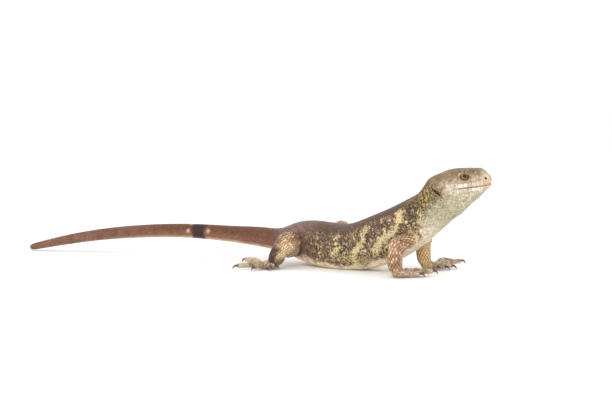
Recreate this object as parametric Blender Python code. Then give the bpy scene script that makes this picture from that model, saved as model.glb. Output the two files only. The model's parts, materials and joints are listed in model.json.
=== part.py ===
"""Solomon Islands skink, life size, lying on its belly with the head raised.

Lengths are in millimetres until a mesh is made. The origin is the spot on the floor under the
middle of the belly, +X runs forward along the trunk, +Y to the animal's left, +Z up.
"""

import math

import bmesh
import bpy
import numpy as np

# Scale, gaps and mesh density
MM = 0.001
GAP = 0.3
BODY_GROWTH = 0.35
BODY_COLUMNS = 28
TAIL_COLUMNS = 16
LIMB_COLUMNS = 14
PALM_COLUMNS = 14
DIGIT_COLUMNS = 7
CLAW_COLUMNS = 5
LEFT, RIGHT = "left", "right"

# Body stations, nose first: name, centre x, y, z, half width, height above, depth below, and the
# roundness powers above and below. In the head the centre line is the line of the mouth.
STATIONS = (
    ("nose", 163.2, 48.4, 103.0, 10.0, 19.2, 5.0, 2.2, 2.0),
    ("snout", 154.8, 42.7, 101.3, 13.0, 20.2, 9.8, 2.2, 2.0),
    ("eye", 138.4, 31.6, 99.2, 19.0, 21.8, 23.9, 2.2, 1.9),
    ("jaw", 130.2, 26.1, 97.5, 21.5, 23.2, 28.2, 2.3, 1.9),
    ("temple", 119.0, 19.4, 90.6, 22.8, 25.6, 29.1, 2.2, 2.0),
    ("ear", 114.4, 16.9, 86.4, 22.4, 23.4, 28.7, 2.2, 2.0),
    ("nape", 107.6, 13.7, 79.5, 21.2, 20.5, 28.3, 2.2, 2.0),
    ("neck", 99.0, 9.9, 70.4, 22.0, 22.6, 28.1, 2.1, 2.0),
    ("shoulder", 80.0, 4.5, 55.0, 25.5, 26.6, 29.3, 2.1, 2.1),
    ("chest", 42.0, 1.5, 37.0, 28.0, 28.2, 30.6, 2.1, 2.2),
    ("belly", 0.0, 0.5, 26.5, 30.0, 26.0, 28.6, 2.1, 2.3),
    ("loin", -42.0, 0.0, 25.5, 28.0, 27.5, 25.5, 2.1, 2.3),
    ("pelvis", -80.0, 0.0, 27.0, 22.0, 22.6, 19.2, 2.1, 2.1),
    ("vent", -102.0, -0.2, 27.0, 15.0, 15.0, 14.4, 2.1, 2.1),
    ("tail root", -130.0, -1.2, 27.6, 12.0, 13.0, 11.6, 2.0, 2.1),
    ("tail fifth", -175.0, -5.6, 29.6, 10.6, 10.5, 10.2, 2.0, 2.1),
    ("tail third", -235.0, -17.5, 30.9, 9.4, 9.0, 9.0, 2.0, 2.1),
    ("tail half", -300.0, -38.0, 28.2, 8.4, 8.2, 8.2, 2.0, 2.1),
    ("tail late", -360.0, -64.0, 21.4, 7.4, 7.2, 7.2, 2.0, 2.1),
    ("tail end", -405.0, -88.0, 12.3, 6.2, 5.8, 5.8, 2.0, 2.1),
    ("tail tip", -437.0, -108.0, 4.0, 4.6, 4.2, 4.0, 2.0, 2.1),
)
# How far behind the nose the half width, height and depth reach their full size, and the same
# for the blunt tip of the tail
NOSE_ROUNDING = (15.0, 5.5, 16.0)
TAIL_ROUNDING = 6.0
# Half the stretch of spine that sets how each section leans, which eases the bend of the neck
BEND_EASE = 9.0
# The muzzle stands forward over the lips: how far, how high above the mouth, and how wide
MUZZLE_FORWARD = 2.0
MUZZLE_HEIGHT = 7.5
MUZZLE_SPREAD = 5.5
MUZZLE_LENGTH = 7.0

# Cuts across the body, as distances from the nose along the spine
HEAD_END = 65.0
NECK_END = 98.0
TORSO_END = 288.0
TAIL_BASE_END = 395.0
TAIL_MIDDLE_END = 525.0
# Distances between sections, and where the rings close in on the nose and on the tip of the tail
NECK_SPACING = 5.5
TORSO_SPACING = 8.5
TAIL_BASE_SPACING = 10.5
TAIL_MIDDLE_SPACING = 13.0
TAIL_TIP_RINGS = 11
NOSE_RINGS = (0.5, 1.3, 2.6, 4.3, 6.4, 8.8)
HEAD_RINGS = 20
HEAD_RINGS_START = 11.5
TAIL_CLOSING_TURNS = (0.35, 0.75, 1.15)

# Angles of the lengthwise lines of a quarter of the head, crowded at the line of the mouth
HEAD_QUARTER = (0.035, 0.105, 0.24, 0.42, 0.62, 0.82, 1.02, 1.22, 1.40)

# Head
MOUTH_LENGTH = 35.0
MOUTH_FADE = 7.0
MOUTH_DEPTH = 0.8
MOUTH_WIDTH = 0.8
LIP_HEIGHT = 0.4
LIP_OFFSET = 2.4
LIP_WIDTH = 1.3
LIPS_AT_NOSE = 0.35
# Brow and cheek: how proud or deep, how high above the mouth, how far behind the nose, and the
# spread in height and in length
BROW = (0.7, 18.0, 29.0, 2.2, 8.0)
CHEEK_HOLLOW = (0.7, 9.5, 17.0, 3.5, 5.0)
EYE_DISTANCE = 28.6
EYE_ANGLE = math.radians(34.5)
EYE_RADIUS = 5.4
EYE_DEPTH = 4.1
EYE_TILT_UP = 0.36
EYE_TURN_FORWARD = 0.12
# The rims of the lids lie on a ball of their own round the eye, as a long oval
LID_BALL = 5.85
LID_HALF_LENGTH = 4.4
LID_HALF_HEIGHT = 3.9
LID_THICKNESS = 0.95
NOSTRIL_DISTANCE = 5.9
NOSTRIL_ANGLE = math.radians(24.0)
NOSTRIL_RADIUS = 1.5
EAR_DISTANCE = 57.5
EAR_ANGLE = math.radians(15.0)
EAR_HALF_HEIGHT = 6.6
EAR_HALF_WIDTH = 1.3
EAR_DEPTH = 3.2
EAR_LEAN = 0.25

# Legs: joint centres and the radius at each joint
ARM_RADII = (10.0, 9.0, 10.0, 8.9, 8.2)
LEG_RADII = (14.0, 16.0, 13.6, 10.4, 9.6)
ARM_JOINTS = {
    RIGHT: ((99.5, -12, 42.5), (98, -26.5, 40), (95.5, -38.3, 35.5), (95, -39.5, 20), (95.6, -38.6, 6)),
    LEFT: ((92, 20, 43), (82, 34.5, 41), (73.5, 44.5, 35), (72, 45.5, 22), (74, 46, 6)),
}
LEG_JOINTS = {
    RIGHT: ((-79, -10, 25.5), (-67.5, -31, 26.5), (-57, -47.8, 29.5), (-60.5, -55.5, 20), (-65, -59, 6)),
    LEFT: ((-78, 10, 26), (-66, 31, 29), (-51, 49, 37.5), (-58, 55, 24), (-67, 58.5, 6)),
}
LIMB_SIDE = (1.0, 0.0, 0.0)
WRIST_HEIGHT = 14.5
JOINT_SWELL = 1.01
LEG_BLOCK = 90.0

# Feet: heading of the foot in degrees from +X, and for each toe its heading, its length to the
# root of the claw, and the heights of its knuckle and of its tip
HANDS = {
    RIGHT: (62, ((102, 14, 7.0, 6.0), (84, 20, 6.5, 5.5), (68, 26, 7.0, 5.5), (54, 33, 6.2, 6.4),
                 (33, 17, 5.0, 4.6))),
    LEFT: (60, ((-22, 11, 4.6, 4.4), (6, 16, 4.6, 4.4), (31, 21, 5.0, 4.6), (57, 34, 7.0, 9.2),
                (73, 27, 9.6, 8.6))),
}
FEET = {
    RIGHT: (-130, ((0, 13, 5.0, 4.8), (-34, 18, 5.0, 4.8), (-78, 25, 6.0, 5.0), (-122, 32, 5.4, 5.0),
                   (178, 30, 8.5, 9.0))),
    LEFT: (52, ((-5, 11, 5.0, 4.8), (22, 18, 5.0, 4.8), (40, 27, 6.0, 5.2), (53, 34, 5.6, 6.0),
                (92, 27, 6.4, 6.0))),
}
PALM_LENGTH = {"hand": 14.0, "foot": 17.0}
PALM_RADIUS = {"hand": 8.2, "foot": 8.0}
PALM_FLATNESS = 0.66
# Heights of the middle of the palm from heel to front, how much it narrows at both ends, how far
# the heel stands behind the wrist and the front goes on past the length of the palm
PALM_HEIGHTS = (5.6, 5.4, 5.0, 4.4)
PALM_NARROWING = 0.72
HEEL_BEHIND_WRIST = 4.5
PALM_FRONT = 2.0
# A toe starts inside the palm; these are its two roots as parts of the palm's length, how far it
# steps towards its own heading, the heights there, and its knuckle and last joint as parts of it
TOE_ROOTS = (0.3, 0.62)
TOE_STEP = 2.5
TOE_ROOT_HEIGHTS = (4.5, 4.2)
TOE_KNUCKLE = 0.4
TOE_LAST_JOINT = 0.78
DIGIT_RADII = (4.0, 3.6, 3.3, 3.0, 2.7)
# A claw: radii, how far it reaches and drops, where its arch and its bend lie on that reach, the
# part of the drop made by the bend, the least height of the bend and the gap under its point
CLAW_RADII = (1.7, 1.5, 1.05, 0.35)
CLAW_REACH = 5.6
CLAW_DROP = 5.4
CLAW_ARCH = 0.45
CLAW_BEND = 0.85
CLAW_BEND_DROP = 0.42
CLAW_BEND_HEIGHT = 1.5
CLAW_CLEARANCE = 0.15
# Length over which a wrist closes inside the palm
WRIST_CLOSING = 3.0

MODEL_NAME = "solomon_islands_skink"
FLOOR_BLOCK = 60.0

# Base colour, roughness and metallic value of each finish
FINISHES = {
    "head_skin": ((0.36, 0.30, 0.20), 0.55, 0.0),
    "body_skin": ((0.22, 0.16, 0.10), 0.55, 0.0),
    "tail_skin": ((0.25, 0.15, 0.09), 0.55, 0.0),
    "leg_skin": ((0.40, 0.24, 0.12), 0.55, 0.0),
    "claw_horn": ((0.06, 0.035, 0.025), 0.35, 0.0),
    "eye_surface": ((0.28, 0.22, 0.05), 0.08, 0.0),
}


def smooth_curve(knots, values):
    """A natural cubic spline through the values, as a function of the distance along it."""
    t = np.asarray(knots, float)
    v = np.asarray(values, float)
    h = np.diff(t)
    n = len(t)
    matrix = np.eye(n)
    target = np.zeros_like(v)
    for i in range(1, n - 1):
        matrix[i, i - 1:i + 2] = h[i - 1], 2 * (h[i - 1] + h[i]), h[i]
        target[i] = 6 * ((v[i + 1] - v[i]) / h[i] - (v[i] - v[i - 1]) / h[i - 1])
    bend = np.linalg.solve(matrix, target)

    def value(s):
        s = np.clip(np.asarray(s, float), t[0], t[-1])
        i = np.clip(np.searchsorted(t, s, side="right") - 1, 0, n - 2)
        before, after, span = s - t[i], t[i + 1] - s, h[i]
        if v.ndim > 1:
            before, after, span = before[..., None], after[..., None], span[..., None]
        cubic = (bend[i] * after**3 + bend[i + 1] * before**3) / (6 * span)
        rising = (v[i + 1] / span - bend[i + 1] * span / 6) * before
        falling = (v[i] / span - bend[i] * span / 6) * after
        return cubic + rising + falling

    return value


def chord_lengths(points):
    """Distance of each point from the first one, along the straight lines between them."""
    steps = np.linalg.norm(np.diff(np.asarray(points, float), axis=0), axis=1)
    return np.concatenate(([0.0], np.cumsum(steps)))


def unit(vectors):
    """The same directions with length one."""
    vectors = np.asarray(vectors, float)
    return vectors / np.linalg.norm(vectors, axis=-1, keepdims=True)


def rounding(distance, length):
    """Quarter circle that rises from 0 at the end of a form to 1 at the given length."""
    q = np.clip(distance / length, 0.0, 1.0)
    return np.sqrt(1.0 - (1.0 - q)**2)


class Body:
    """Nose to tail as one smooth form: rounded sections carried along the spine."""

    def __init__(self, stations):
        centres = [row[1:4] for row in stations]
        self.knots = chord_lengths(centres)
        self.length = self.knots[-1]
        self.centre = smooth_curve(self.knots, centres)
        self.sizes = smooth_curve(self.knots, [row[4:7] for row in stations])
        self.powers = smooth_curve(self.knots, [row[7:9] for row in stations])

    def axes(self, s):
        """Directions at distance s: towards the nose, to the left, and up in the section."""
        forward = unit(self.centre(s - BEND_EASE) - self.centre(s + BEND_EASE))
        up = unit(np.array([0.0, 0.0, 1.0]) - forward * forward[..., 2:3])
        return forward, np.cross(up, forward), up

    def point(self, s, angle, growth=0.0, relief=None):
        """Skin at distance s and angle: 0 is the left side, a quarter turn is the top."""
        s, angle = np.broadcast_arrays(np.asarray(s, float), np.asarray(angle, float))
        forward, left, up = self.axes(s)
        width, above, below = np.moveaxis(self.sizes(s), -1, 0)
        tail = rounding(self.length - s, TAIL_ROUNDING)
        width = width * rounding(s, NOSE_ROUNDING[0]) * tail + growth
        above = above * rounding(s, NOSE_ROUNDING[1]) * tail + growth
        below = below * rounding(s, NOSE_ROUNDING[2]) * tail + growth
        power_above, power_below = np.moveaxis(self.powers(s), -1, 0)
        cos, sin = np.cos(angle), np.sin(angle)
        power = np.where(sin >= 0, power_above, power_below)
        side = width * np.sign(cos) * np.abs(cos)**(2 / power)
        height = np.where(sin >= 0, above, below) * np.sign(sin) * np.abs(sin)**(2 / power)
        if relief is not None:
            scale = 1.0 + relief(s, height) / np.maximum(np.hypot(side, height), 1.0)
            side, height = side * scale, height * scale
        shape = np.exp(-((height - MUZZLE_HEIGHT) / MUZZLE_SPREAD)**2)
        muzzle = MUZZLE_FORWARD * np.exp(-(s / MUZZLE_LENGTH)**2) * shape
        skin = self.centre(s) + left * side[..., None] + up * height[..., None]
        skin = skin + forward * muzzle[..., None]
        skin[..., 2] = np.maximum(skin[..., 2], 0.0)
        return skin


class Limb:
    """A leg, a toe or a claw: round sections along a smooth path through a few joints."""

    def __init__(self, joints, radii, side, flatness=1.0):
        self.knots = chord_lengths(joints)
        self.length = self.knots[-1]
        self.centre = smooth_curve(self.knots, joints)
        self.radius = smooth_curve(self.knots, radii)
        self.side = unit(side)
        self.flatness = flatness

    def axes(self, s):
        """Directions at distance s: along the path, across it, and out of the bend."""
        step = 0.25
        along = unit(self.centre(s + step) - self.centre(s - step))
        across = unit(self.side - along * (along @ self.side)[..., None])
        return along, across, np.cross(along, across)

    def rings(self, start, stop, count, columns, closing=0.0):
        """Sections from start to stop, the last ones drawn in over the closing length."""
        s = np.linspace(start, stop, count)
        if closing:
            quarter = np.linspace(0.0, math.pi / 2, 4)[:-1]
            straight = np.linspace(start, stop - closing, count)
            s = np.concatenate((straight[:-1], stop - closing * (1 - np.sin(quarter))))
        radius = self.radius(s)
        if closing:
            radius = radius * np.maximum(rounding(stop - s, closing), 0.05)
        _, across, out = self.axes(s)
        angle = np.linspace(0.0, 2 * math.pi, columns, endpoint=False)[None, :, None]
        spokes = np.cos(angle) * across[:, None] + self.flatness * np.sin(angle) * out[:, None]
        return self.centre(s)[:, None] + spokes * radius[:, None, None]


def make_material(name):
    """A plain surface with the finish's colour, roughness and metallic value."""
    colour, roughness, metallic = FINISHES[name]
    material = bpy.data.materials.new(name)
    material.use_nodes = True
    shader = material.node_tree.nodes["Principled BSDF"]
    shader.inputs["Base Color"].default_value = (*colour, 1.0)
    shader.inputs["Roughness"].default_value = roughness
    shader.inputs["Metallic"].default_value = metallic
    return material


def add_object(name, mesh, collection, finish=None):
    """Put a mesh in the scene under its name, with its finish and smooth shading."""
    obj = bpy.data.objects.new(name, mesh)
    collection.objects.link(obj)
    if finish is not None:
        mesh.materials.clear()
        mesh.materials.append(finish)
        mesh.shade_smooth()
    return obj


def loft(name, rings, first_point=None, last_point=None):
    """Closed mesh through rings of points, with a fan of faces over each end."""
    count, columns = rings.shape[:2]
    if first_point is None:
        first_point = rings[0].mean(axis=0)
    if last_point is None:
        last_point = rings[-1].mean(axis=0)
    points = np.concatenate((rings.reshape(-1, 3), [first_point], [last_point])) * MM
    first, last = count * columns, count * columns + 1
    faces = []
    for j in range(columns):
        k = (j + 1) % columns
        end = (count - 1) * columns
        faces.append((first, k, j))
        faces.append((last, end + j, end + k))
        for i in range(count - 1):
            a, b = i * columns, (i + 1) * columns
            faces.append((a + j, a + k, b + k, b + j))
    mesh = bpy.data.meshes.new(name)
    mesh.from_pydata(points.tolist(), [], faces)
    face_outwards(mesh)
    return mesh


def face_outwards(mesh):
    """Turn every face of a closed mesh to point out."""
    bm = bmesh.new()
    bm.from_mesh(mesh)
    bmesh.ops.recalc_face_normals(bm, faces=bm.faces)
    bm.to_mesh(mesh)
    bm.free()


def ball(name, centre, axes, radii, segments=16, rings=10):
    """Mesh of an ellipsoid whose three radii lie along the three given directions."""
    bm = bmesh.new()
    bmesh.ops.create_uvsphere(bm, u_segments=segments, v_segments=rings, radius=1.0)
    matrix = np.array([unit(axis) * radius for axis, radius in zip(axes, radii)])
    for vertex in bm.verts:
        vertex.co = (np.array(vertex.co) @ matrix + centre) * MM
    mesh = bpy.data.meshes.new(name)
    bm.to_mesh(mesh)
    bm.free()
    face_outwards(mesh)
    return mesh


def hoop(name, centre, axes, radii, reach, thickness, segments=20, sides=6):
    """Mesh of an oval ring that lies on a ball of the given reach round the centre."""
    turn = np.linspace(0.0, 2 * math.pi, segments, endpoint=False)[:, None, None]
    roll = np.linspace(0.0, 2 * math.pi, sides, endpoint=False)[None, :, None]
    across, over, out = (unit(axis) for axis in axes)
    oval = across * np.cos(turn) * radii[0] + over * np.sin(turn) * radii[1]
    rise = np.sqrt(reach**2 - np.sum(oval**2, axis=2, keepdims=True))
    path = oval + out * rise
    points = centre + path + thickness * (unit(oval) * np.cos(roll) + out * np.sin(roll))
    faces = []
    for i in range(segments):
        for j in range(sides):
            k, m = (i + 1) % segments, (j + 1) % sides
            faces.append((i * sides + j, k * sides + j, k * sides + m, i * sides + m))
    mesh = bpy.data.meshes.new(name)
    mesh.from_pydata((points.reshape(-1, 3) * MM).tolist(), [], faces)
    face_outwards(mesh)
    return mesh


def keep_largest(mesh):
    """Delete every closed surface of a mesh but the one with the most faces."""
    bm = bmesh.new()
    bm.from_mesh(mesh)
    unseen = set(bm.verts)
    islands = []
    while unseen:
        stack = [unseen.pop()]
        island = set(stack)
        while stack:
            for edge in stack.pop().link_edges:
                for vertex in edge.verts:
                    if vertex in unseen:
                        unseen.remove(vertex)
                        island.add(vertex)
                        stack.append(vertex)
        islands.append(island)
    largest = max(islands, key=len)
    scraps = [vertex for vertex in bm.verts if vertex not in largest]
    bmesh.ops.delete(bm, geom=scraps, context="VERTS")
    bm.to_mesh(mesh)
    bm.free()


def combine(mesh, tools, operation, solver="EXACT"):
    """Join the tools to a mesh, or cut them out of it, in one Boolean that is then applied."""
    body = bpy.data.objects.new("work_piece", mesh)
    bpy.context.scene.collection.objects.link(body)
    for index, tool in enumerate(tools):
        cutter = add_object(f"cutter_{index}", tool, cutters)
        cutter.hide_render = True
        cutter.display_type = "WIRE"
    boolean = body.modifiers.new("shape", "BOOLEAN")
    boolean.operation = operation
    boolean.operand_type = "COLLECTION"
    boolean.collection = cutters
    boolean.solver = solver
    depsgraph = bpy.context.evaluated_depsgraph_get()
    result = bpy.data.meshes.new_from_object(body.evaluated_get(depsgraph))
    bpy.data.objects.remove(body)
    for cutter in list(cutters.objects):
        bpy.data.objects.remove(cutter)
    keep_largest(result)
    return result


def head_relief(s, height):
    """Outward relief of the head: the line of the mouth between two lips, brow and cheek."""
    fade = np.clip((MOUTH_LENGTH + MOUTH_FADE - s) / MOUTH_FADE, 0.0, 1.0)
    groove = MOUTH_DEPTH * np.exp(-(height / MOUTH_WIDTH)**2)
    lips = LIP_HEIGHT * np.exp(-((np.abs(height) - LIP_OFFSET) / LIP_WIDTH)**2)
    near_nose = rounding(s, NOSE_ROUNDING[0])
    mouth = fade * (lips - groove) * (LIPS_AT_NOSE + (1.0 - LIPS_AT_NOSE) * near_nose)
    return mouth + swell(s, height, BROW) - swell(s, height, CHEEK_HOLLOW)


def swell(s, height, form):
    """A soft round swelling with its size, place and spread given by the form."""
    size, above_mouth, behind_nose, spread_up, spread_along = form
    up = ((height - above_mouth) / spread_up)**2
    return size * np.exp(-up - ((s - behind_nose) / spread_along)**2)


def head_columns():
    """Angles round the head, crowded at the line of the mouth on both sides."""
    quarter = np.array(HEAD_QUARTER)
    half = np.concatenate(([0.0], quarter, [math.pi / 2], math.pi - quarter[::-1]))
    return np.concatenate((half, half + math.pi))


def body_rings(start, stop, spacing, columns):
    """Evenly spaced sections of the body between two distances from the nose."""
    count = max(2, round((stop - start) / spacing) + 1)
    angles = np.linspace(0.0, 2 * math.pi, columns, endpoint=False)
    return body.point(np.linspace(start, stop, count)[:, None], angles[None, :])


def side_sign(side):
    """+1 on the animal's left and -1 on its right."""
    return 1.0 if side == LEFT else -1.0


def mirrored_angle(angle, side):
    """An angle up from the mouth line, on the given side of the head."""
    return angle if side == LEFT else math.pi - angle


def eye_axes(side):
    """Directions at the eye: forward, up along the lid opening, and out of the head."""
    forward, left, up = body.axes(EYE_DISTANCE)
    out = unit(left * side_sign(side) + up * EYE_TILT_UP + forward * EYE_TURN_FORWARD)
    along = unit(forward - out * (forward @ out))
    return along, np.cross(out, along), out


def eye_centre(side):
    """Centre of the eyeball, sunk below the skin of the head."""
    skin = body.point(EYE_DISTANCE, mirrored_angle(EYE_ANGLE, side))
    return skin - eye_axes(side)[2] * EYE_DEPTH


def make_head():
    """Head with lips, lids, eye sockets, nostrils and the openings of the ears."""
    rest = np.linspace(HEAD_RINGS_START, HEAD_END, HEAD_RINGS)
    distances = np.concatenate((NOSE_RINGS, rest))
    rings = body.point(distances[:, None], head_columns()[None, :], relief=head_relief)
    mesh = loft("head", rings, first_point=body.point(0.0, 0.0))
    lids = []
    cuts = []
    for side in (LEFT, RIGHT):
        axes = eye_axes(side)
        centre = eye_centre(side)
        oval = (LID_HALF_LENGTH, LID_HALF_HEIGHT)
        lids.append(hoop("lid", centre, axes, oval, LID_BALL, LID_THICKNESS))
        socket = EYE_RADIUS + GAP
        cuts.append(ball("socket", centre, axes, (socket, socket, socket)))
        forward, left, up = body.axes(NOSTRIL_DISTANCE)
        nostril = body.point(NOSTRIL_DISTANCE, mirrored_angle(NOSTRIL_ANGLE, side))
        nostril_radii = (NOSTRIL_RADIUS, NOSTRIL_RADIUS * 0.8, NOSTRIL_RADIUS * 1.3)
        cuts.append(ball("nostril", nostril, (forward, up, left), nostril_radii, 10, 6))
        forward, left, up = body.axes(EAR_DISTANCE)
        ear = body.point(EAR_DISTANCE, mirrored_angle(EAR_ANGLE, side))
        along_slit = unit(up - forward * EAR_LEAN)
        across_slit = unit(np.cross(left, along_slit))
        ear_radii = (EAR_HALF_HEIGHT, EAR_HALF_WIDTH, EAR_DEPTH)
        cuts.append(ball("ear", ear, (along_slit, across_slit, left), ear_radii, 14, 8))
    mesh = combine(mesh, lids, "UNION")
    mesh = combine(mesh, cuts, "DIFFERENCE")
    add_object("head", mesh, parts, finishes["head_skin"])


def make_eyes():
    """Two eyeballs that sit in their sockets."""
    for side in (LEFT, RIGHT):
        along, over, out = eye_axes(side)
        radii = (EYE_RADIUS, EYE_RADIUS, EYE_RADIUS)
        mesh = ball(f"eye_{side}", eye_centre(side), (along, over, out), radii, 14, 9)
        add_object(f"eye_{side}", mesh, parts, finishes["eye_surface"])


def make_trunk_and_tail():
    """Neck, torso and three lengths of tail, parted by thin plane cuts."""
    lengths = (
        ("neck", HEAD_END, NECK_END, NECK_SPACING, BODY_COLUMNS, "body_skin"),
        ("torso", NECK_END, TORSO_END, TORSO_SPACING, BODY_COLUMNS, "body_skin"),
        ("tail_base", TORSO_END, TAIL_BASE_END, TAIL_BASE_SPACING, TAIL_COLUMNS, "tail_skin"),
        ("tail_middle", TAIL_BASE_END, TAIL_MIDDLE_END, TAIL_MIDDLE_SPACING, TAIL_COLUMNS, "tail_skin"),
    )
    for name, start, stop, spacing, columns, finish in lengths:
        rings = body_rings(start + GAP, stop, spacing, columns)
        add_object(name, loft(name, rings), parts, finishes[finish])
    angles = np.linspace(0.0, 2 * math.pi, TAIL_COLUMNS, endpoint=False)
    long_stretch = np.linspace(TAIL_MIDDLE_END + GAP, body.length - TAIL_ROUNDING, TAIL_TIP_RINGS)
    tip = body.length - TAIL_ROUNDING * (1 - np.sin(np.array(TAIL_CLOSING_TURNS)))
    distances = np.concatenate((long_stretch, tip))
    rings = body.point(distances[:, None], angles[None, :])
    mesh = loft("tail_tip", rings, last_point=body.point(body.length, 0.0))
    add_object("tail_tip", mesh, parts, finishes["tail_skin"])


def body_cutter():
    """The neck, torso and tail root, a hair larger, to cut the leg roots free of them."""
    angles = np.linspace(0.0, 2 * math.pi, BODY_COLUMNS, endpoint=False)
    count = round((TORSO_END - NECK_END) / TORSO_SPACING) + 1
    neck = np.linspace(HEAD_END + GAP, NECK_END, 5)[:-1]
    torso = np.linspace(NECK_END + GAP, TORSO_END, count)
    tail = TORSO_END + TAIL_BASE_SPACING * np.arange(1, 4)
    distances = np.concatenate((neck, torso, tail))
    rings = body.point(distances[:, None], angles[None, :], growth=BODY_GROWTH)
    return loft("body_cutter", rings)


def floor_block():
    """A block below the floor, which cuts the soles flat."""
    bm = bmesh.new()
    bmesh.ops.create_cube(bm, size=1.0)
    for vertex in bm.verts:
        vertex.co.x *= 12 * FLOOR_BLOCK * MM
        vertex.co.y *= 6 * FLOOR_BLOCK * MM
        vertex.co.z = (vertex.co.z - 0.5) * FLOOR_BLOCK * MM
    mesh = bpy.data.meshes.new("floor_block")
    bm.to_mesh(mesh)
    bm.free()
    return mesh


def heading_vector(degrees):
    """Level unit vector with the given heading from +X."""
    angle = math.radians(degrees)
    return np.array([math.cos(angle), math.sin(angle), 0.0])


def digit_path(wrist, heading, palm, toe):
    """Joint centres of one toe, from inside the palm to the root of its claw."""
    toe_heading, length, knuckle_height, tip_height = toe
    ahead = heading_vector(heading)
    u = heading_vector(toe_heading)
    inside = wrist + ahead * palm * TOE_ROOTS[0]
    base = wrist + ahead * palm * TOE_ROOTS[1] + u * TOE_STEP
    knuckle = base + u * length * TOE_KNUCKLE
    last_joint = base + u * length * TOE_LAST_JOINT
    tip = base + u * length
    path = np.array([inside, base, knuckle, last_joint, tip])
    path[:2, 2] = TOE_ROOT_HEIGHTS
    path[2:, 2] = (knuckle_height, (knuckle_height + tip_height) / 2, tip_height)
    return path, u


def make_claw(name, tip, direction, level):
    """Curved claw that starts face to face with its toe and comes down to the floor."""
    root = tip + direction * GAP
    arch = root + level * CLAW_REACH * CLAW_ARCH
    bend = root + level * CLAW_REACH * CLAW_BEND
    bend[2] = max(root[2] - CLAW_DROP * CLAW_BEND_DROP, CLAW_BEND_HEIGHT)
    point = root + level * CLAW_REACH
    point[2] = max(root[2] - CLAW_DROP, CLAW_RADII[-1] + CLAW_CLEARANCE)
    across = np.cross(level, [0.0, 0.0, 1.0])
    claw = Limb((root, arch, bend, point), CLAW_RADII, across)
    rings = claw.rings(0.0, claw.length, 6, CLAW_COLUMNS)
    off_the_toe = (root - rings[0]) @ direction
    rings[0] += off_the_toe[:, None] * direction
    rings[..., 2] = np.maximum(rings[..., 2], 0.0)
    add_object(name, loft(name, rings), parts, finishes["claw_horn"])


def make_paw(kind, side, leg, cut, spec):
    """Hand or foot: wrist, palm and five toes in one piece on a flat sole, and its claws."""
    heading, toes = spec
    wrist = np.array(leg.centre(leg.length))
    ahead = heading_vector(heading)
    palm = PALM_LENGTH[kind]
    radius = PALM_RADIUS[kind]
    stub = leg.rings(cut + GAP, leg.length, 4, LIMB_COLUMNS, closing=WRIST_CLOSING)
    heel = wrist - ahead * HEEL_BEHIND_WRIST
    middle = wrist + ahead * palm / 2
    front = wrist + ahead * (palm + PALM_FRONT)
    palm_path = np.array([heel, wrist, middle, front])
    palm_path[:, 2] = PALM_HEIGHTS
    palm_radii = (radius * PALM_NARROWING, radius, radius, radius * PALM_NARROWING)
    sideways = np.cross([0.0, 0.0, 1.0], ahead)
    palm_form = Limb(palm_path, palm_radii, sideways, PALM_FLATNESS)
    palm_rings = palm_form.rings(0.0, palm_form.length, 6, PALM_COLUMNS, closing=WRIST_CLOSING)
    pieces = [loft("palm", palm_rings)]
    claws = []
    for toe in toes:
        path, u = digit_path(wrist, heading, palm, toe)
        digit = Limb(path, DIGIT_RADII, np.cross([0.0, 0.0, 1.0], u))
        pieces.append(loft("digit", digit.rings(0.0, digit.length, 8, DIGIT_COLUMNS)))
        claws.append((path[-1], digit.axes(digit.length)[0], u))
    name = f"{kind}_{side}"
    mesh = combine(loft(name, stub), pieces, "UNION")
    mesh = combine(mesh, [floor_block()], "DIFFERENCE")
    add_object(name, mesh, parts, finishes["leg_skin"])
    for number, (tip, direction, level) in enumerate(claws, start=1):
        make_claw(f"claw_{kind}_{side}_{number}", tip, direction, level)


def half_space(point, normal):
    """A block that fills the space beyond a plane, on the side its normal points to."""
    side = unit(np.cross(normal, [0.3, 0.5, 0.8]))
    frame = np.array([side, np.cross(normal, side), normal])
    bm = bmesh.new()
    bmesh.ops.create_cube(bm, size=2.0)
    for vertex in bm.verts:
        corner = np.array(vertex.co) + (0.0, 0.0, 1.0)
        vertex.co = (point + (corner * LEG_BLOCK) @ frame) * MM
    mesh = bpy.data.meshes.new("half_space")
    bm.to_mesh(mesh)
    bm.free()
    face_outwards(mesh)
    return mesh


def make_leg(names, side, joints, radii, paw_kind, paw_spec):
    """Upper and lower leg, parted at the elbow or knee on the plane that halves its bend."""
    upper_path = Limb(joints[:3], radii[:3], LIMB_SIDE)
    lower_path = Limb(joints[2:], radii[2:], LIMB_SIDE)
    joint = np.array(joints[2], float)
    heights = lower_path.centre(np.linspace(0.0, lower_path.length, 100))[:, 2]
    wrist_cut = np.interp(-WRIST_HEIGHT, -heights, np.linspace(0.0, lower_path.length, 100))
    upper = loft("upper", upper_path.rings(0.0, upper_path.length, 6, LIMB_COLUMNS))
    lower = loft("lower", lower_path.rings(0.0, wrist_cut, 6, LIMB_COLUMNS))
    cap = ball("cap", joint, np.eye(3), np.full(3, radii[2] * JOINT_SWELL), 14, 9)
    leg = combine(upper, [lower, cap], "UNION")
    normal = unit(upper_path.axes(upper_path.length)[0] + lower_path.axes(0.0)[0])
    beyond = half_space(joint - normal * GAP / 2, normal)
    before = half_space(joint + normal * GAP / 2, -normal)
    pieces = ((names[0], [beyond, body_cutter()]), (names[1], [before]))
    for name, cuts in pieces:
        mesh = combine(leg, cuts, "DIFFERENCE")
        add_object(f"{name}_{side}", mesh, parts, finishes["leg_skin"])
    make_paw(paw_kind, side, lower_path, wrist_cut, paw_spec)


for old in list(bpy.data.objects):
    bpy.data.objects.remove(old)
parts = bpy.data.collections.new(MODEL_NAME)
cutters = bpy.data.collections.new(MODEL_NAME + "_cutters")
bpy.context.scene.collection.children.link(parts)
bpy.context.scene.collection.children.link(cutters)
finishes = {name: make_material(name) for name in FINISHES}
body = Body(STATIONS)

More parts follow.
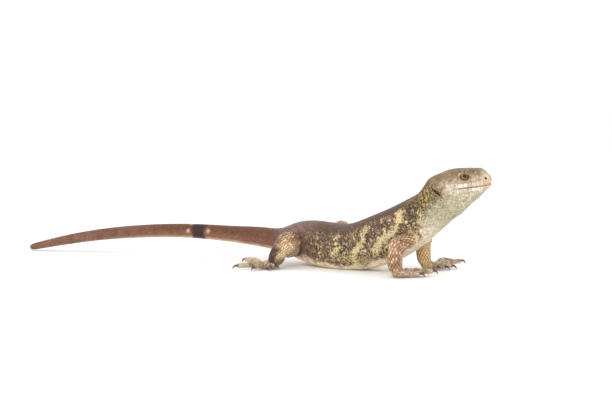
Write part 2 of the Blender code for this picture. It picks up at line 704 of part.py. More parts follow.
make_head()
make_eyes()
make_trunk_and_tail()
for flank in (RIGHT, LEFT):
    make_leg(("upper_arm", "forearm"), flank, ARM_JOINTS[flank], ARM_RADII, "hand", HANDS[flank])
    make_leg(("thigh", "shank"), flank, LEG_JOINTS[flank], LEG_RADII, "foot", FEET[flank])
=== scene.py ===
# %% [markdown]
# This lesson dresses a life-size Solomon Islands skink. The solids of the animal already exist: head,
# neck, torso, tail, legs, eyes and claws, each with its true place and size. Here they get the looks:
# one skin without seams, thousands of overlapping scales, lids and shields on the head, eyes, claws,
# and the brown, cream and yellow markings. Every shape is worked out with numpy from sizes in
# millimetres and put into Blender's meshes in one go, which keeps even ten thousand scales quick.

# %% Load the solids
import json
import math

import bpy
import numpy as np
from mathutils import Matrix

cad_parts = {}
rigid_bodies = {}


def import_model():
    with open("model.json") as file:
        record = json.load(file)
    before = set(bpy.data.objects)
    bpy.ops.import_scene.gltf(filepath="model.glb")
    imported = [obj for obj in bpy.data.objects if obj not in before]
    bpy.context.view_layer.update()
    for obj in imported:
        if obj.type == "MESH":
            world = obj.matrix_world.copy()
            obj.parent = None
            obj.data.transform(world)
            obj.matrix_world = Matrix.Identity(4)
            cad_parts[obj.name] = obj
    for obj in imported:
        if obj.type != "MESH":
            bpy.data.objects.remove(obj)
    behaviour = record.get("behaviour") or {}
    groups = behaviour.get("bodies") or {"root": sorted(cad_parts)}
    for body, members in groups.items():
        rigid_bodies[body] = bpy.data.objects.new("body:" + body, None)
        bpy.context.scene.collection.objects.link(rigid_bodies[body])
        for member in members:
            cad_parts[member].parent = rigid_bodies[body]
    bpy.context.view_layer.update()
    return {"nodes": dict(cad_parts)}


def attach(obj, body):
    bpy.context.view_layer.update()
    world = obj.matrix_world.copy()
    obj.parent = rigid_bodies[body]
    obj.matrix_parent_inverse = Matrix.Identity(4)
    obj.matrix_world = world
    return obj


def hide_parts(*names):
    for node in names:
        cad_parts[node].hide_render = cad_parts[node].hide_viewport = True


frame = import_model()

claw_nodes = sorted(name for name in frame["nodes"] if name.startswith("claw"))
eye_nodes = sorted(name for name in frame["nodes"] if name.startswith("eye"))
flesh_nodes = sorted(set(frame["nodes"]) - set(claw_nodes) - set(eye_nodes))

# %% [markdown]
# A lizard's body is one long form. It could be sculpted, but a form carried along a spine is easier to
# steer: at a few stations we say where the middle lies and how wide, high and deep the animal is, and
# a smooth curve fills in the rest. These are the sizes of the solids, so the skin will fit them.

# %% Sizes of the animal
MM = 0.001
LEFT, RIGHT = "left", "right"
SIDES = (LEFT, RIGHT)

# Body stations: name, centre x, y, z, half width, height above, depth below, roundness powers. In the
# head the centre line is the line of the mouth.
STATIONS = (
    ("nose", 163.2, 48.4, 103.0, 10.0, 19.2, 5.0, 2.2, 2.0),
    ("snout", 154.8, 42.7, 101.3, 13.0, 20.2, 9.8, 2.2, 2.0),
    ("eye", 138.4, 31.6, 99.2, 19.0, 21.8, 23.9, 2.2, 1.9),
    ("jaw", 130.2, 26.1, 97.5, 21.5, 23.2, 28.2, 2.3, 1.9),
    ("temple", 119.0, 19.4, 90.6, 22.8, 25.6, 29.1, 2.2, 2.0),
    ("ear", 114.4, 16.9, 86.4, 22.4, 23.4, 28.7, 2.2, 2.0),
    ("nape", 107.6, 13.7, 79.5, 21.2, 20.5, 28.3, 2.2, 2.0),
    ("neck", 99.0, 9.9, 70.4, 22.0, 22.6, 28.1, 2.1, 2.0),
    ("shoulder", 80.0, 4.5, 55.0, 25.5, 26.6, 29.3, 2.1, 2.1),
    ("chest", 42.0, 1.5, 37.0, 28.0, 28.2, 30.6, 2.1, 2.2),
    ("belly", 0.0, 0.5, 26.5, 30.0, 26.0, 28.6, 2.1, 2.3),
    ("loin", -42.0, 0.0, 25.5, 28.0, 27.5, 25.5, 2.1, 2.3),
    ("pelvis", -80.0, 0.0, 27.0, 22.0, 22.6, 19.2, 2.1, 2.1),
    ("vent", -102.0, -0.2, 27.0, 15.0, 15.0, 14.4, 2.1, 2.1),
    ("tail root", -130.0, -1.2, 27.6, 12.0, 13.0, 11.6, 2.0, 2.1),
    ("tail fifth", -175.0, -5.6, 29.6, 10.6, 10.5, 10.2, 2.0, 2.1),
    ("tail third", -235.0, -17.5, 30.9, 9.4, 9.0, 9.0, 2.0, 2.1),
    ("tail half", -300.0, -38.0, 28.2, 8.4, 8.2, 8.2, 2.0, 2.1),
    ("tail late", -360.0, -64.0, 21.4, 7.4, 7.2, 7.2, 2.0, 2.1),
    ("tail end", -405.0, -88.0, 12.3, 6.2, 5.8, 5.8, 2.0, 2.1),
    ("tail tip", -437.0, -108.0, 4.0, 4.6, 4.2, 4.0, 2.0, 2.1),
)
NOSE_ROUNDING = (15.0, 10.0, 16.0)
TAIL_ROUNDING = 6.0
BEND_EASE = 9.0
MUZZLE = (2.0, 7.5, 5.5, 7.0)    # forward, height above the mouth, spread, length


def smooth_curve(knots, values):
    """Natural cubic spline through the values: its bending is found so that slopes match at knots."""
    t = np.asarray(knots, float)
    v = np.asarray(values, float)
    h = np.diff(t)
    n = len(t)
    matrix = np.eye(n)
    target = np.zeros_like(v)
    for i in range(1, n - 1):
        matrix[i, i - 1:i + 2] = h[i - 1], 2 * (h[i - 1] + h[i]), h[i]
        target[i] = 6 * ((v[i + 1] - v[i]) / h[i] - (v[i] - v[i - 1]) / h[i - 1])
    bend = np.linalg.solve(matrix, target)

    def value(s):
        s = np.clip(np.asarray(s, float), t[0], t[-1])
        i = np.clip(np.searchsorted(t, s, side="right") - 1, 0, n - 2)
        before, after, span = s - t[i], t[i + 1] - s, h[i]
        if v.ndim > 1:
            before, after, span = before[..., None], after[..., None], span[..., None]
        cubic = (bend[i] * after**3 + bend[i + 1] * before**3) / (6 * span)
        rising = (v[i + 1] / span - bend[i + 1] * span / 6) * before
        falling = (v[i] / span - bend[i] * span / 6) * after
        return cubic + rising + falling

    return value


def chord_lengths(points):
    """Distance of each point from the first, along the straight lines between them."""
    steps = np.linalg.norm(np.diff(np.asarray(points, float), axis=0), axis=1)
    return np.concatenate(([0.0], np.cumsum(steps)))


def unit(vectors):
    """The same directions with length one."""
    vectors = np.asarray(vectors, float)
    return vectors / np.maximum(np.linalg.norm(vectors, axis=-1, keepdims=True), 1e-9)


def rounding(distance, length):
    """Quarter circle that rises from 0 at the end of a form to 1 at the given length."""
    q = np.clip(distance / length, 0.0, 1.0)
    return np.sqrt(1.0 - (1.0 - q)**2)


def step_up(value, low, high):
    """0 below low, 1 above high, and a smooth S between them."""
    t = np.clip((np.asarray(value, float) - low) / (high - low), 0.0, 1.0)
    return t * t * (3.0 - 2.0 * t)


body_knots = chord_lengths([row[1:4] for row in STATIONS])
BODY_LENGTH = body_knots[-1]
spine = smooth_curve(body_knots, [row[1:4] for row in STATIONS])
section_sizes = smooth_curve(body_knots, [row[4:7] for row in STATIONS])
section_powers = smooth_curve(body_knots, [row[7:9] for row in STATIONS])
print("spine of", round(BODY_LENGTH), "mm")

# %% [markdown]
# A section of the body is a superellipse: a circle whose roundness can be pushed towards a box. Two
# numbers name every spot of the body's surface: the distance from the nose along the spine, and the
# angle round it. The same function will place the skin, and later each row of scales.


# %% The surface of the body
def section_axes(s):
    """Directions at distance s from the nose: towards the nose, to the left, and up."""
    forward = unit(spine(s - BEND_EASE) - spine(s + BEND_EASE))
    up = unit(np.array([0.0, 0.0, 1.0]) - forward * forward[..., 2:3])
    return forward, np.cross(up, forward), up


def section_extent(s, growth=0.0):
    """Half width, height above and depth below of the section, rounded off at nose and tail tip."""
    width, above, below = np.moveaxis(section_sizes(s), -1, 0)
    tail = rounding(BODY_LENGTH - s, TAIL_ROUNDING)
    return (width * rounding(s, NOSE_ROUNDING[0]) * tail + growth,
            above * rounding(s, NOSE_ROUNDING[1]) * tail + growth,
            below * rounding(s, NOSE_ROUNDING[2]) * tail + growth)


def body_point(s, angle, growth=0.0, relief=None):
    """Superellipse at distance s: angle 0 is the left side, a quarter turn is the top."""
    s, angle = np.broadcast_arrays(np.asarray(s, float), np.asarray(angle, float))
    forward, left, up = section_axes(s)
    width, above, below = section_extent(s, growth)
    power_above, power_below = np.moveaxis(section_powers(s), -1, 0)
    cos, sin = np.cos(angle), np.sin(angle)
    power = np.where(sin >= 0, power_above, power_below)
    side = width * np.sign(cos) * np.abs(cos)**(2 / power)
    height = np.where(sin >= 0, above, below) * np.sign(sin) * np.abs(sin)**(2 / power)
    if relief is not None:
        scale = 1.0 + relief(s, height) / np.maximum(np.hypot(side, height), 1.0)
        side, height = side * scale, height * scale
    reach, middle, spread, length = MUZZLE
    muzzle = reach * np.exp(-(s / length)**2 - ((height - middle) / spread)**2)
    skin = spine(s) + left * side[..., None] + up * height[..., None] + forward * muzzle[..., None]
    skin[..., 2] = np.maximum(skin[..., 2], FLOOR_CLEARANCE)
    return skin


FLOOR_CLEARANCE = 0.05
print("widest at the belly:", np.round(section_extent(np.array([195.7]))[0] * 2, 1), "mm")

# %% [markdown]
# Legs, palms, toes and claws are thinner tubes, each carried along a short path through its joints.
# The path bends, so each section needs its own directions: along the path, across it, and out of the
# bend. Taking the direction over a few millimetres eases sharp elbows and knees.

# %% Legs, feet and toes
ARM_RADII = (10.0, 9.0, 10.0, 8.9, 8.2)
LEG_RADII = (14.0, 16.0, 13.6, 10.4, 9.6)
ARM_JOINTS = {
    RIGHT: ((99.5, -12, 42.5), (98, -26.5, 40), (95.5, -38.3, 35.5), (95, -39.5, 20), (95.6, -38.6, 6)),
    LEFT: ((92, 20, 43), (82, 34.5, 41), (73.5, 44.5, 35), (72, 45.5, 22), (74, 46, 6)),
}
LEG_JOINTS = {
    RIGHT: ((-79, -10, 25.5), (-67.5, -31, 26.5), (-57, -47.8, 29.5), (-60.5, -55.5, 20), (-65, -59, 6)),
    LEFT: ((-78, 10, 26), (-66, 31, 29), (-51, 49, 37.5), (-58, 55, 24), (-67, 58.5, 6)),
}
# Heading of each foot in degrees from +X, then for each toe its heading, its length to the root of
# the claw, and the heights of its knuckle and tip
HANDS = {
    RIGHT: (62, ((102, 14, 7.0, 6.0), (84, 20, 6.5, 5.5), (68, 26, 7.0, 5.5), (54, 33, 6.2, 6.4),
                 (33, 17, 5.0, 4.6))),
    LEFT: (60, ((-22, 11, 4.6, 4.4), (6, 16, 4.6, 4.4), (31, 21, 5.0, 4.6), (57, 34, 7.0, 9.2),
                (73, 27, 9.6, 8.6))),
}
FEET = {
    RIGHT: (-130, ((0, 13, 5.0, 4.8), (-34, 18, 5.0, 4.8), (-78, 25, 6.0, 5.0), (-122, 32, 5.4, 5.0),
                   (178, 30, 8.5, 9.0))),
    LEFT: (52, ((-5, 11, 5.0, 4.8), (22, 18, 5.0, 4.8), (40, 27, 6.0, 5.2), (53, 34, 5.6, 6.0),
                (92, 27, 6.4, 6.0))),
}
PALM_LENGTH = {"hand": 14.0, "foot": 17.0}
PALM_RADIUS = {"hand": 8.2, "foot": 8.0}
PALM_HEIGHTS = (5.6, 5.4, 5.0, 4.4)
DIGIT_RADII = (4.0, 3.6, 3.3, 3.0, 2.7)
COAT_DEPTH, PALM_COAT_DEPTH, TOE_COAT_DEPTH = 0.5, 0.4, 0.3
HEEL_REACH = 4.5
UP = np.array([0.0, 0.0, 1.0])


class Limb:
    """Round sections along a smooth path through a few joints."""

    def __init__(self, joints, radii, across=(1.0, 0.0, 0.0), flatness=1.0, ease=0.25):
        self.knots = chord_lengths(joints)
        self.length = self.knots[-1]
        self.centre = smooth_curve(self.knots, joints)
        self.radius = smooth_curve(self.knots, radii)
        self.side = unit(across)
        self.flatness = flatness
        self.ease = ease

    def axes(self, s):
        """Directions at distance s: along the path, across it, and out of the bend."""
        along = unit(self.centre(s + self.ease) - self.centre(s - self.ease))
        across = unit(self.side - along * (along @ self.side)[..., None])
        return along, across, np.cross(along, across)

    def point(self, s, angle, growth=0.0, closing=0.0):
        """Circle of the local radius at distance s, drawn in over the closing length at the end."""
        s, angle = np.broadcast_arrays(np.asarray(s, float), np.asarray(angle, float))
        radius = self.radius(s) + growth
        if closing:
            radius = radius * np.maximum(rounding(self.length - s, closing), 0.02)
        _, across, out = self.axes(s)
        spoke = np.cos(angle)[..., None] * across + self.flatness * np.sin(angle)[..., None] * out
        points = self.centre(s) + spoke * radius[..., None]
        points[..., 2] = np.maximum(points[..., 2], FLOOR_CLEARANCE)
        return points


def heading_vector(degrees):
    """Level unit vector with the given heading from +X."""
    return np.array([math.cos(math.radians(degrees)), math.sin(math.radians(degrees)), 0.0])


def toe_path(wrist, heading, palm, toe):
    """Joints of one toe, from inside the palm to the root of its claw, and its level heading."""
    toe_heading, length, knuckle_height, tip_height = toe
    ahead, u = heading_vector(heading), heading_vector(toe_heading)
    base = wrist + ahead * palm * 0.62 + u * 2.5
    path = np.array([wrist + ahead * palm * 0.3, base, base + u * length * 0.4,
                     base + u * length * 0.78, base + u * length])
    path[:, 2] = (4.5, 4.2, knuckle_height, (knuckle_height + tip_height) / 2, tip_height)
    return path, u


def make_limbs():
    """Every limb form by name: upper, lower, palm and five toes of each of the four legs."""
    forms = {}
    for kind, joints, radii, paws in (("hand", ARM_JOINTS, ARM_RADII, HANDS),
                                      ("foot", LEG_JOINTS, LEG_RADII, FEET)):
        for side in SIDES:
            path = np.array(joints[side], float)
            heading, toes = paws[side]
            palm = PALM_LENGTH[kind]
            radius = PALM_RADIUS[kind]
            wrist, ahead = path[-1], heading_vector(heading)
            forms[f"{kind}_{side}_upper"] = Limb(path[:3], radii[:3])
            forms[f"{kind}_{side}_lower"] = Limb(path[2:], radii[2:])
            palm_path = np.array([wrist - ahead * HEEL_REACH, wrist, wrist + ahead * palm / 2,
                                  wrist + ahead * (palm + 2.0)])
            palm_path[:, 2] = PALM_HEIGHTS
            palm_radii = (radius * 0.72, radius, radius, radius * 0.72)
            forms[f"{kind}_{side}_palm"] = Limb(palm_path, palm_radii, np.cross(UP, ahead), 0.66)
            for number, toe in enumerate(toes, start=1):
                joints_of_toe, u = toe_path(wrist, heading, palm, toe)
                forms[f"{kind}_{side}_toe_{number}"] = Limb(joints_of_toe, DIGIT_RADII, np.cross(UP, u))
    return forms


limbs = make_limbs()
print(len(limbs), "limb forms")

# %% [markdown]
# A head without its scales would look like soap. Skinks have large flat shields on the head, laid out
# in a fixed plan that is the same left and right, rather than overlapping scales. The plan below names
# each shield's middle by distance from the nose and by angle. Each point of the skin then belongs to
# the nearest middle, and where two middles are equally near a groove is pressed in, which is how a
# Voronoi pattern makes cells.

# %% The plan of the head shields
MOUTH_LENGTH, MOUTH_FADE = 35.0, 7.0
EYE_DISTANCE, EYE_ANGLE = 28.6, math.radians(34.5)
EYE_RADIUS, EYE_DEPTH = 5.4, 4.1
EYE_TILT_UP, EYE_TURN_FORWARD = 0.36, 0.12
EYE_OPENING = (3.95, 3.4)
NOSTRIL_DISTANCE, NOSTRIL_ANGLE, NOSTRIL_RADIUS = 5.9, math.radians(24.0), 1.5
EAR_DISTANCE, EAR_ANGLE = 57.5, math.radians(15.0)
EAR_HALF_HEIGHT, EAR_HALF_WIDTH, EAR_DEPTH, EAR_LEAN = 6.4, 1.0, 3.0, 0.25

# Shields on the midline and, in degrees up from the mouth, on the left side
MIDLINE_SHIELDS = (("rostral", 1.2), ("frontonasal", 8.0), ("frontal", 21.5), ("interparietal", 40.0))
SIDE_SHIELDS = (
    ("nasal", 5.2, 28), ("internasal", 3.6, 62), ("prefrontal", 13.2, 66),
    ("supraocular", 19.8, 58), ("supraocular", 25.0, 58), ("supraocular", 30.2, 58),
    ("supraocular", 35.2, 59), ("frontoparietal", 33.0, 79), ("parietal", 43.5, 68),
    ("nuchal", 52.0, 76), ("nuchal", 51.0, 52), ("loreal", 10.4, 33), ("loreal", 14.8, 34),
    ("preocular", 19.2, 34), ("preocular", 20.4, 22), ("upper loreal", 11.0, 47),
    ("upper loreal", 16.2, 48), ("supraciliary", 20.8, 46), ("supraciliary", 24.2, 49),
    ("supraciliary", 28.2, 50), ("supraciliary", 32.2, 49), ("supraciliary", 35.8, 46),
    ("postocular", 37.6, 38), ("postocular", 37.0, 28), ("subocular", 24.6, 18),
    ("subocular", 29.4, 16.5), ("subocular", 34.0, 18), ("temporal", 40.4, 20), ("temporal", 42.0, 32),
    ("temporal", 42.0, 46), ("temporal", 45.6, 24), ("temporal", 47.0, 37), ("temporal", 40.6, 9.5),
    ("temporal", 45.0, 12), ("temporal", 49.6, 17), ("temporal", 50.6, 29), ("temporal", 44.5, 1),
    ("temporal", 49.5, 5),
)
LIP_SHIELDS = (2.8, 6.6, 10.6, 14.8, 19.2, 23.8, 28.6, 33.6, 38.6)
UPPER_LIP_ANGLE, LOWER_LIP_ANGLE = 8.5, -8.0
CHIN_SHIELDS = ((3.4, -52), (7.6, -30), (12.4, -27), (17.4, -25), (22.6, -24), (8.6, -68), (14.0, -58),
                (19.4, -52), (14.6, -84), (20.4, -76), (28.0, -23), (33.6, -22))
LID_RINGS = ((1.2, 20, 0.0), (1.5, 21, 0.5), (1.84, 20, 0.2))


def mirrored(angle, side):
    """An angle up from the mouth line, on the given side of the head."""
    return angle if side == LEFT else math.pi - angle


def side_sign(side):
    """+1 on the animal's left and -1 on its right."""
    return 1.0 if side == LEFT else -1.0


def eye_axes(side):
    """Directions at the eye: forward, down along the opening, and out of the head."""
    forward, left, up = section_axes(EYE_DISTANCE)
    out = unit(left * side_sign(side) + up * EYE_TILT_UP + forward * EYE_TURN_FORWARD)
    along = unit(forward - out * (forward @ out))
    return along, np.cross(out, along) * side_sign(side), out


def eye_centre(side):
    """Middle of the eyeball, sunk below the skin of the head."""
    skin = body_point(EYE_DISTANCE, mirrored(EYE_ANGLE, side))
    return skin - eye_axes(side)[2] * EYE_DEPTH


def shield_middles():
    """Middles of all head shields, granules of the lids last, as points."""
    plan = [(s, 90.0) for _, s in MIDLINE_SHIELDS]
    halves = [(s, a) for _, s, a in SIDE_SHIELDS] + list(CHIN_SHIELDS)
    halves += [(s, UPPER_LIP_ANGLE) for s in LIP_SHIELDS] + [(s, LOWER_LIP_ANGLE) for s in LIP_SHIELDS]
    plan += halves + [(s, 180.0 - a) for s, a in halves]
    s, degrees = np.array(plan).T
    uneven = np.random.default_rng(5).normal(0.0, 1.0, (2, len(s))) * (np.abs(degrees - 90) > 1)
    middles = [body_point(s + 0.35 * uneven[0], np.radians(degrees + 1.1 * uneven[1]))]
    for side in SIDES:
        along, down, out = eye_axes(side)
        for reach, count, shift in LID_RINGS:
            turn = (np.arange(count) + shift)[:, None] * 2 * math.pi / count
            ring = np.cos(turn) * along * EYE_OPENING[0] + np.sin(turn) * down * EYE_OPENING[1]
            middles.append(eye_centre(side) + ring * reach + out * (EYE_DEPTH + 0.3))
    return np.concatenate(middles)


shields = shield_middles()
lid_granules = sum(2 * count for _, count, _ in LID_RINGS)
print(len(shields), "shields, of which", lid_granules, "granules on the lids")

# %% [markdown]
# The skin of the head is the body's surface with reliefs pressed into it: lips and the line of the
# mouth, grooves between shields, lids that stand up round a hollow for the eyeball, nostrils, and the
# deep slit of the ear. Each relief is a bell or an S of the distance from its middle, so the fine grid
# takes it without any sculpting.


# %% Reliefs of the head
SHIELD_CHUNK, BODY_CHUNK = 8192, 16384    # points compared at once, to save memory


def mouth_relief(s, height):
    """Bell-shaped groove at the height of the mouth between two soft ridges, the lips."""
    fade = np.clip((MOUTH_LENGTH + MOUTH_FADE - s) / MOUTH_FADE, 0.0, 1.0)
    groove = 0.85 * np.exp(-(height / 0.5)**2)
    lips = 0.4 * np.exp(-((np.abs(height) - 2.2) / 1.4)**2)
    near_nose = 0.35 + 0.65 * rounding(s, NOSE_ROUNDING[0])
    brow = 0.9 * np.exp(-((height - 18.0) / 2.4)**2 - ((s - 28.0) / 8.5)**2)
    hollow = 0.8 * np.exp(-((height - 10.5) / 3.5)**2 - ((s - 16.5) / 5.5)**2)
    cheek = 0.5 * np.exp(-((height - 8.0) / 7.0)**2 - ((s - 47.0) / 8.0)**2)
    crown_dip = 1.9 * step_up(height, 13.0, 20.0) * np.exp(-((s - 48.5) / 7.0)**2)
    return fade * (lips - groove) * near_nose + brow - hollow + cheek - crown_dip


def skin_depth(s):
    """How far the skin lies inside the solids: a hair on the head, the coat's depth on the body."""
    return -0.1 - (COAT_DEPTH - 0.1) * step_up(s, 34.0, 50.0)


def shield_pattern(points):
    """Nearest shield of each point, closeness to a groove, and height of the shield's crown, 0 to 1."""
    nearest = np.empty(len(points), int)
    groove = np.empty(len(points))
    crown = np.empty(len(points))
    for start in range(0, len(points), SHIELD_CHUNK):
        stop = start + SHIELD_CHUNK
        part = points[start:stop]
        reach = np.linalg.norm(part[:, None] - shields[None], axis=2)
        order = np.argpartition(reach, 1, axis=1)[:, :2]
        first, second = np.sort(np.take_along_axis(reach, order, 1), axis=1).T
        nearest[start:stop] = reach.argmin(axis=1)
        width = np.minimum(0.12 * (first + second), 0.42)
        groove[start:stop] = np.exp(-((second - first) / width)**2)
        crown[start:stop] = 1.0 - (first / second)**2
    return nearest, groove, crown


def coat_start(angle):
    """Distance from the nose where the overlapping scales take over from the shields."""
    height = np.sin(angle)
    top = 46.0 + 7.0 * step_up(height, 0.1, 0.9)
    return np.where(height > 0, top, 46.0 - 22.0 * step_up(-height, 0.1, 0.55))


def eye_place(points, side):
    """Each point seen from the eye: oval reach in the plane of the lids, distance, out and down."""
    along, down, out = eye_axes(side)
    offset = points - eye_centre(side)
    reach = np.hypot(offset @ along / EYE_OPENING[0], offset @ down / EYE_OPENING[1])
    return reach, np.linalg.norm(offset, axis=-1), offset @ out, offset @ down


def press_eyes(points):
    """Lids as a ridge round an oval opening; inside it the skin drops behind the eyeball."""
    for side in SIDES:
        reach, distance, out, down = eye_place(points, side)
        rim = 0.75 * np.exp(-((reach - 1.2) / 0.2)**2) + 0.3 * np.exp(-((reach - 1.72) / 0.16)**2)
        rim = rim * (1.0 + 0.25 * np.clip(down / EYE_OPENING[1], -1, 1))
        outside = step_up(reach, 0.97, 1.08)
        target = (EYE_RADIUS - 0.7) * (1 - outside) + (distance + rim) * outside
        scale = np.where((out > 0) & (reach < 2.6), target / np.maximum(distance, 1e-6), 1.0)
        points = eye_centre(side) + (points - eye_centre(side)) * scale[..., None]
    return points


def nostril_reach(points, side):
    """Distance from the axis of the nostril in nostril radii, and far away off its own side."""
    angle = mirrored(NOSTRIL_ANGLE, side)
    middle = body_point(NOSTRIL_DISTANCE, angle)
    behind = body_point(NOSTRIL_DISTANCE + 0.5, angle) - middle
    above = body_point(NOSTRIL_DISTANCE, angle + 0.04 * side_sign(side)) - middle
    out = unit(np.cross(behind, above)) * side_sign(side)
    offset = points - middle
    depth = offset @ out
    reach = np.linalg.norm(offset - depth[..., None] * out, axis=-1) / NOSTRIL_RADIUS
    return np.where(np.abs(depth) < 4.0, reach, 99.0)


def ear_reach(points, side):
    """Distance from the middle of the ear slit, in half heights along it and half widths across."""
    middle = body_point(EAR_DISTANCE, mirrored(EAR_ANGLE, side))
    forward, left, up = section_axes(EAR_DISTANCE)
    slit = unit(up - forward * EAR_LEAN)
    across = unit(np.cross(left, slit))
    offset = points - middle
    flat = np.hypot(offset @ slit / EAR_HALF_HEIGHT, offset @ across / EAR_HALF_WIDTH)
    return np.where(np.abs(offset @ left) < 8.0, flat, 99.0), offset @ across


def grid_normals(grid):
    """Outward normals of a body grid from the cross product of its two neighbour differences."""
    down = np.gradient(grid, axis=0)
    round_it = np.roll(grid, -1, axis=1) - np.roll(grid, 1, axis=1)
    return unit(np.cross(down, round_it))


def head_surface(distances, angles):
    """Body grid of the head with every relief pressed in."""
    s = distances[:, None]
    grid = body_point(s, angles[None], skin_depth(s), mouth_relief)
    normals = grid_normals(grid)
    flat = grid.reshape(-1, 3)
    _, groove, crown = shield_pattern(flat)
    bare = 1.0 - step_up(s - coat_start(angles[None]), -1.0, 3.0)
    depth = (0.26 * groove - 0.2 * crown).reshape(grid.shape[:2]) * bare
    for side in SIDES:
        nostril = nostril_reach(grid, side)
        depth = depth + 1.6 * np.exp(-nostril**6) - 0.22 * np.exp(-((nostril - 1.5) / 0.4)**2)
        ear, across = ear_reach(grid, side)
        depth = depth + EAR_DEPTH * np.exp(-ear**4)
        ahead_of_ear = np.exp(-((across - 2.2 * np.sign(EAR_LEAN)) / 1.2)**2)
        depth = depth - 0.25 * ahead_of_ear * (ear < 4.0)
    grid = grid - normals * depth[..., None]
    return press_eyes(grid)


print("coat starts at", np.round(coat_start(np.radians([90, 20, -20, -90])), 1), "mm from the nose")

# %% [markdown]
# Now the meshes. A helper takes all points as one array and faces as arrays of corner numbers, which
# is far quicker than adding faces one by one. The skin of the body is a stack of rings: fine on the
# head, coarser on the trunk, and where a ring needs only half as many points, triangles bridge the two.


# %% Mesh helpers
def new_object(name, points, face_sets):
    """Object at the origin from points in millimetres and arrays of faces of one size each."""
    mesh = bpy.data.meshes.new(name)
    loops = np.concatenate([faces.ravel() for faces in face_sets]).astype(np.int32)
    sizes = np.concatenate([np.full(len(faces), faces.shape[1]) for faces in face_sets])
    starts = np.concatenate(([0], np.cumsum(sizes)[:-1])).astype(np.int32)
    mesh.vertices.add(len(points))
    mesh.vertices.foreach_set("co", (np.asarray(points) * MM).astype(np.float32).ravel())
    mesh.loops.add(len(loops))
    mesh.loops.foreach_set("vertex_index", loops)
    mesh.polygons.add(len(starts))
    mesh.polygons.foreach_set("loop_start", starts)
    mesh.update(calc_edges=True)
    mesh.shade_smooth()
    obj = bpy.data.objects.new(name, mesh)
    bpy.context.scene.collection.objects.link(obj)
    return obj


def mesh_points(mesh):
    """All points of a mesh, in millimetres."""
    flat = np.empty(len(mesh.vertices) * 3, np.float32)
    mesh.vertices.foreach_get("co", flat)
    return flat.reshape(-1, 3).astype(float) / MM


def final_mesh(obj):
    """A new mesh with the object's modifiers applied."""
    depsgraph = bpy.context.evaluated_depsgraph_get()
    return bpy.data.meshes.new_from_object(obj.evaluated_get(depsgraph))


def tube_faces(rows, columns, inside_out=False):
    """Quads round a grid of rings and a fan to one extra point at each end."""
    i = np.arange(rows - 1)[:, None] * columns
    j = np.arange(columns)[None]
    k = (j + 1) % columns
    quads = np.stack(np.broadcast_arrays(i + j, i + columns + j, i + columns + k, i + k), -1)
    quads = quads.reshape(-1, 4)
    j, k = j[0], k[0]
    end = (rows - 1) * columns
    first, last = np.full(columns, rows * columns), np.full(columns, rows * columns + 1)
    fans = np.concatenate((np.stack((first, j, k), 1), np.stack((end + j, last, end + k), 1)))
    return [quads[:, ::-1], fans[:, ::-1]] if inside_out else [quads, fans]


def closed_tube(name, rings, first=None, last=None, inside_out=True):
    """Closed object through rings of points."""
    first = rings[0].mean(axis=0) if first is None else first
    last = rings[-1].mean(axis=0) if last is None else last
    points = np.concatenate((rings.reshape(-1, 3), [first], [last]))
    return new_object(name, points, tube_faces(*rings.shape[:2], inside_out))


def ring_strip(start_a, count_a, start_b, count_b):
    """Faces between two rings, of which the second may have half as many points."""
    j = np.arange(count_b)
    k = (j + 1) % count_b
    if count_a == count_b:
        return [np.stack((start_a + j, start_b + j, start_b + k, start_a + k), 1)]
    near, middle, far = start_a + 2 * j, start_a + 2 * j + 1, start_a + (2 * j + 2) % count_a
    return [np.stack((near, start_b + j, middle), 1),
            np.stack((middle, start_b + j, start_b + k, far), 1)]


print("helpers ready")

# %% [markdown]
# The rings crowd together on the head and at the line of the mouth, where the finest relief sits. A
# shift of the angle by a part of the sine of its double packs the points at both sides of the head.

# %% Skin of the body
HEAD_COLUMNS = 288
CROWDING = 0.45


def ring_angles(count):
    """Angles of one ring, closer together at the line of the mouth on both sides."""
    turn = np.linspace(0.0, 2 * math.pi, count, endpoint=False)
    return turn - CROWDING * np.sin(2 * turn) / 2


def make_body_skin():
    """Nose to tail as one closed mesh, with finer rings on the head."""
    nose = 0.0115 * np.arange(1, 21)**2
    head = np.arange(nose[-1] + 0.45, 63.0, 0.45)
    widening = head[-1] + np.cumsum(np.linspace(0.5, 2.3, 12))
    trunk = np.arange(widening[-1] + 2.3, 292.0, 2.3)
    tail = np.arange(trunk[-1] + 2.5, BODY_LENGTH - TAIL_ROUNDING, 2.5)
    tip = BODY_LENGTH - TAIL_ROUNDING * (1 - np.sin(np.linspace(0.2, 1.45, 6)))
    fine = np.concatenate((nose, head))
    blocks = [(fine, HEAD_COLUMNS), (np.concatenate((widening, trunk)), HEAD_COLUMNS // 2)]
    rest = np.concatenate((tail, tip))
    blocks += [(rest[rest < 440], HEAD_COLUMNS // 4), (rest[rest >= 440], HEAD_COLUMNS // 8)]
    points, faces, start, previous = [], [], 0, None
    for distances, count in blocks:
        angles = ring_angles(count)
        if count == HEAD_COLUMNS:
            grid = head_surface(distances, angles)
        else:
            grid = body_point(distances[:, None], angles[None], skin_depth(distances[:, None]))
        for ring in grid:
            if previous is not None:
                faces += ring_strip(*previous, start, count)
            previous = (start, count)
            start += count
        points.append(grid.reshape(-1, 3))
    j = np.arange(HEAD_COLUMNS)
    faces.append(np.stack((np.full(HEAD_COLUMNS, start), j, (j + 1) % HEAD_COLUMNS), 1))
    end, count = previous
    j = np.arange(count)
    faces.append(np.stack((end + j, np.full(count, start + 1), end + (j + 1) % count), 1))
    points.append([body_point(0.0, 0.0, -0.1), body_point(BODY_LENGTH, 0.0, 0.0)])
    return new_object("skin_body", np.concatenate(points), faces)


body_skin = make_body_skin()
print("skin of the body:", len(body_skin.data.polygons), "faces")

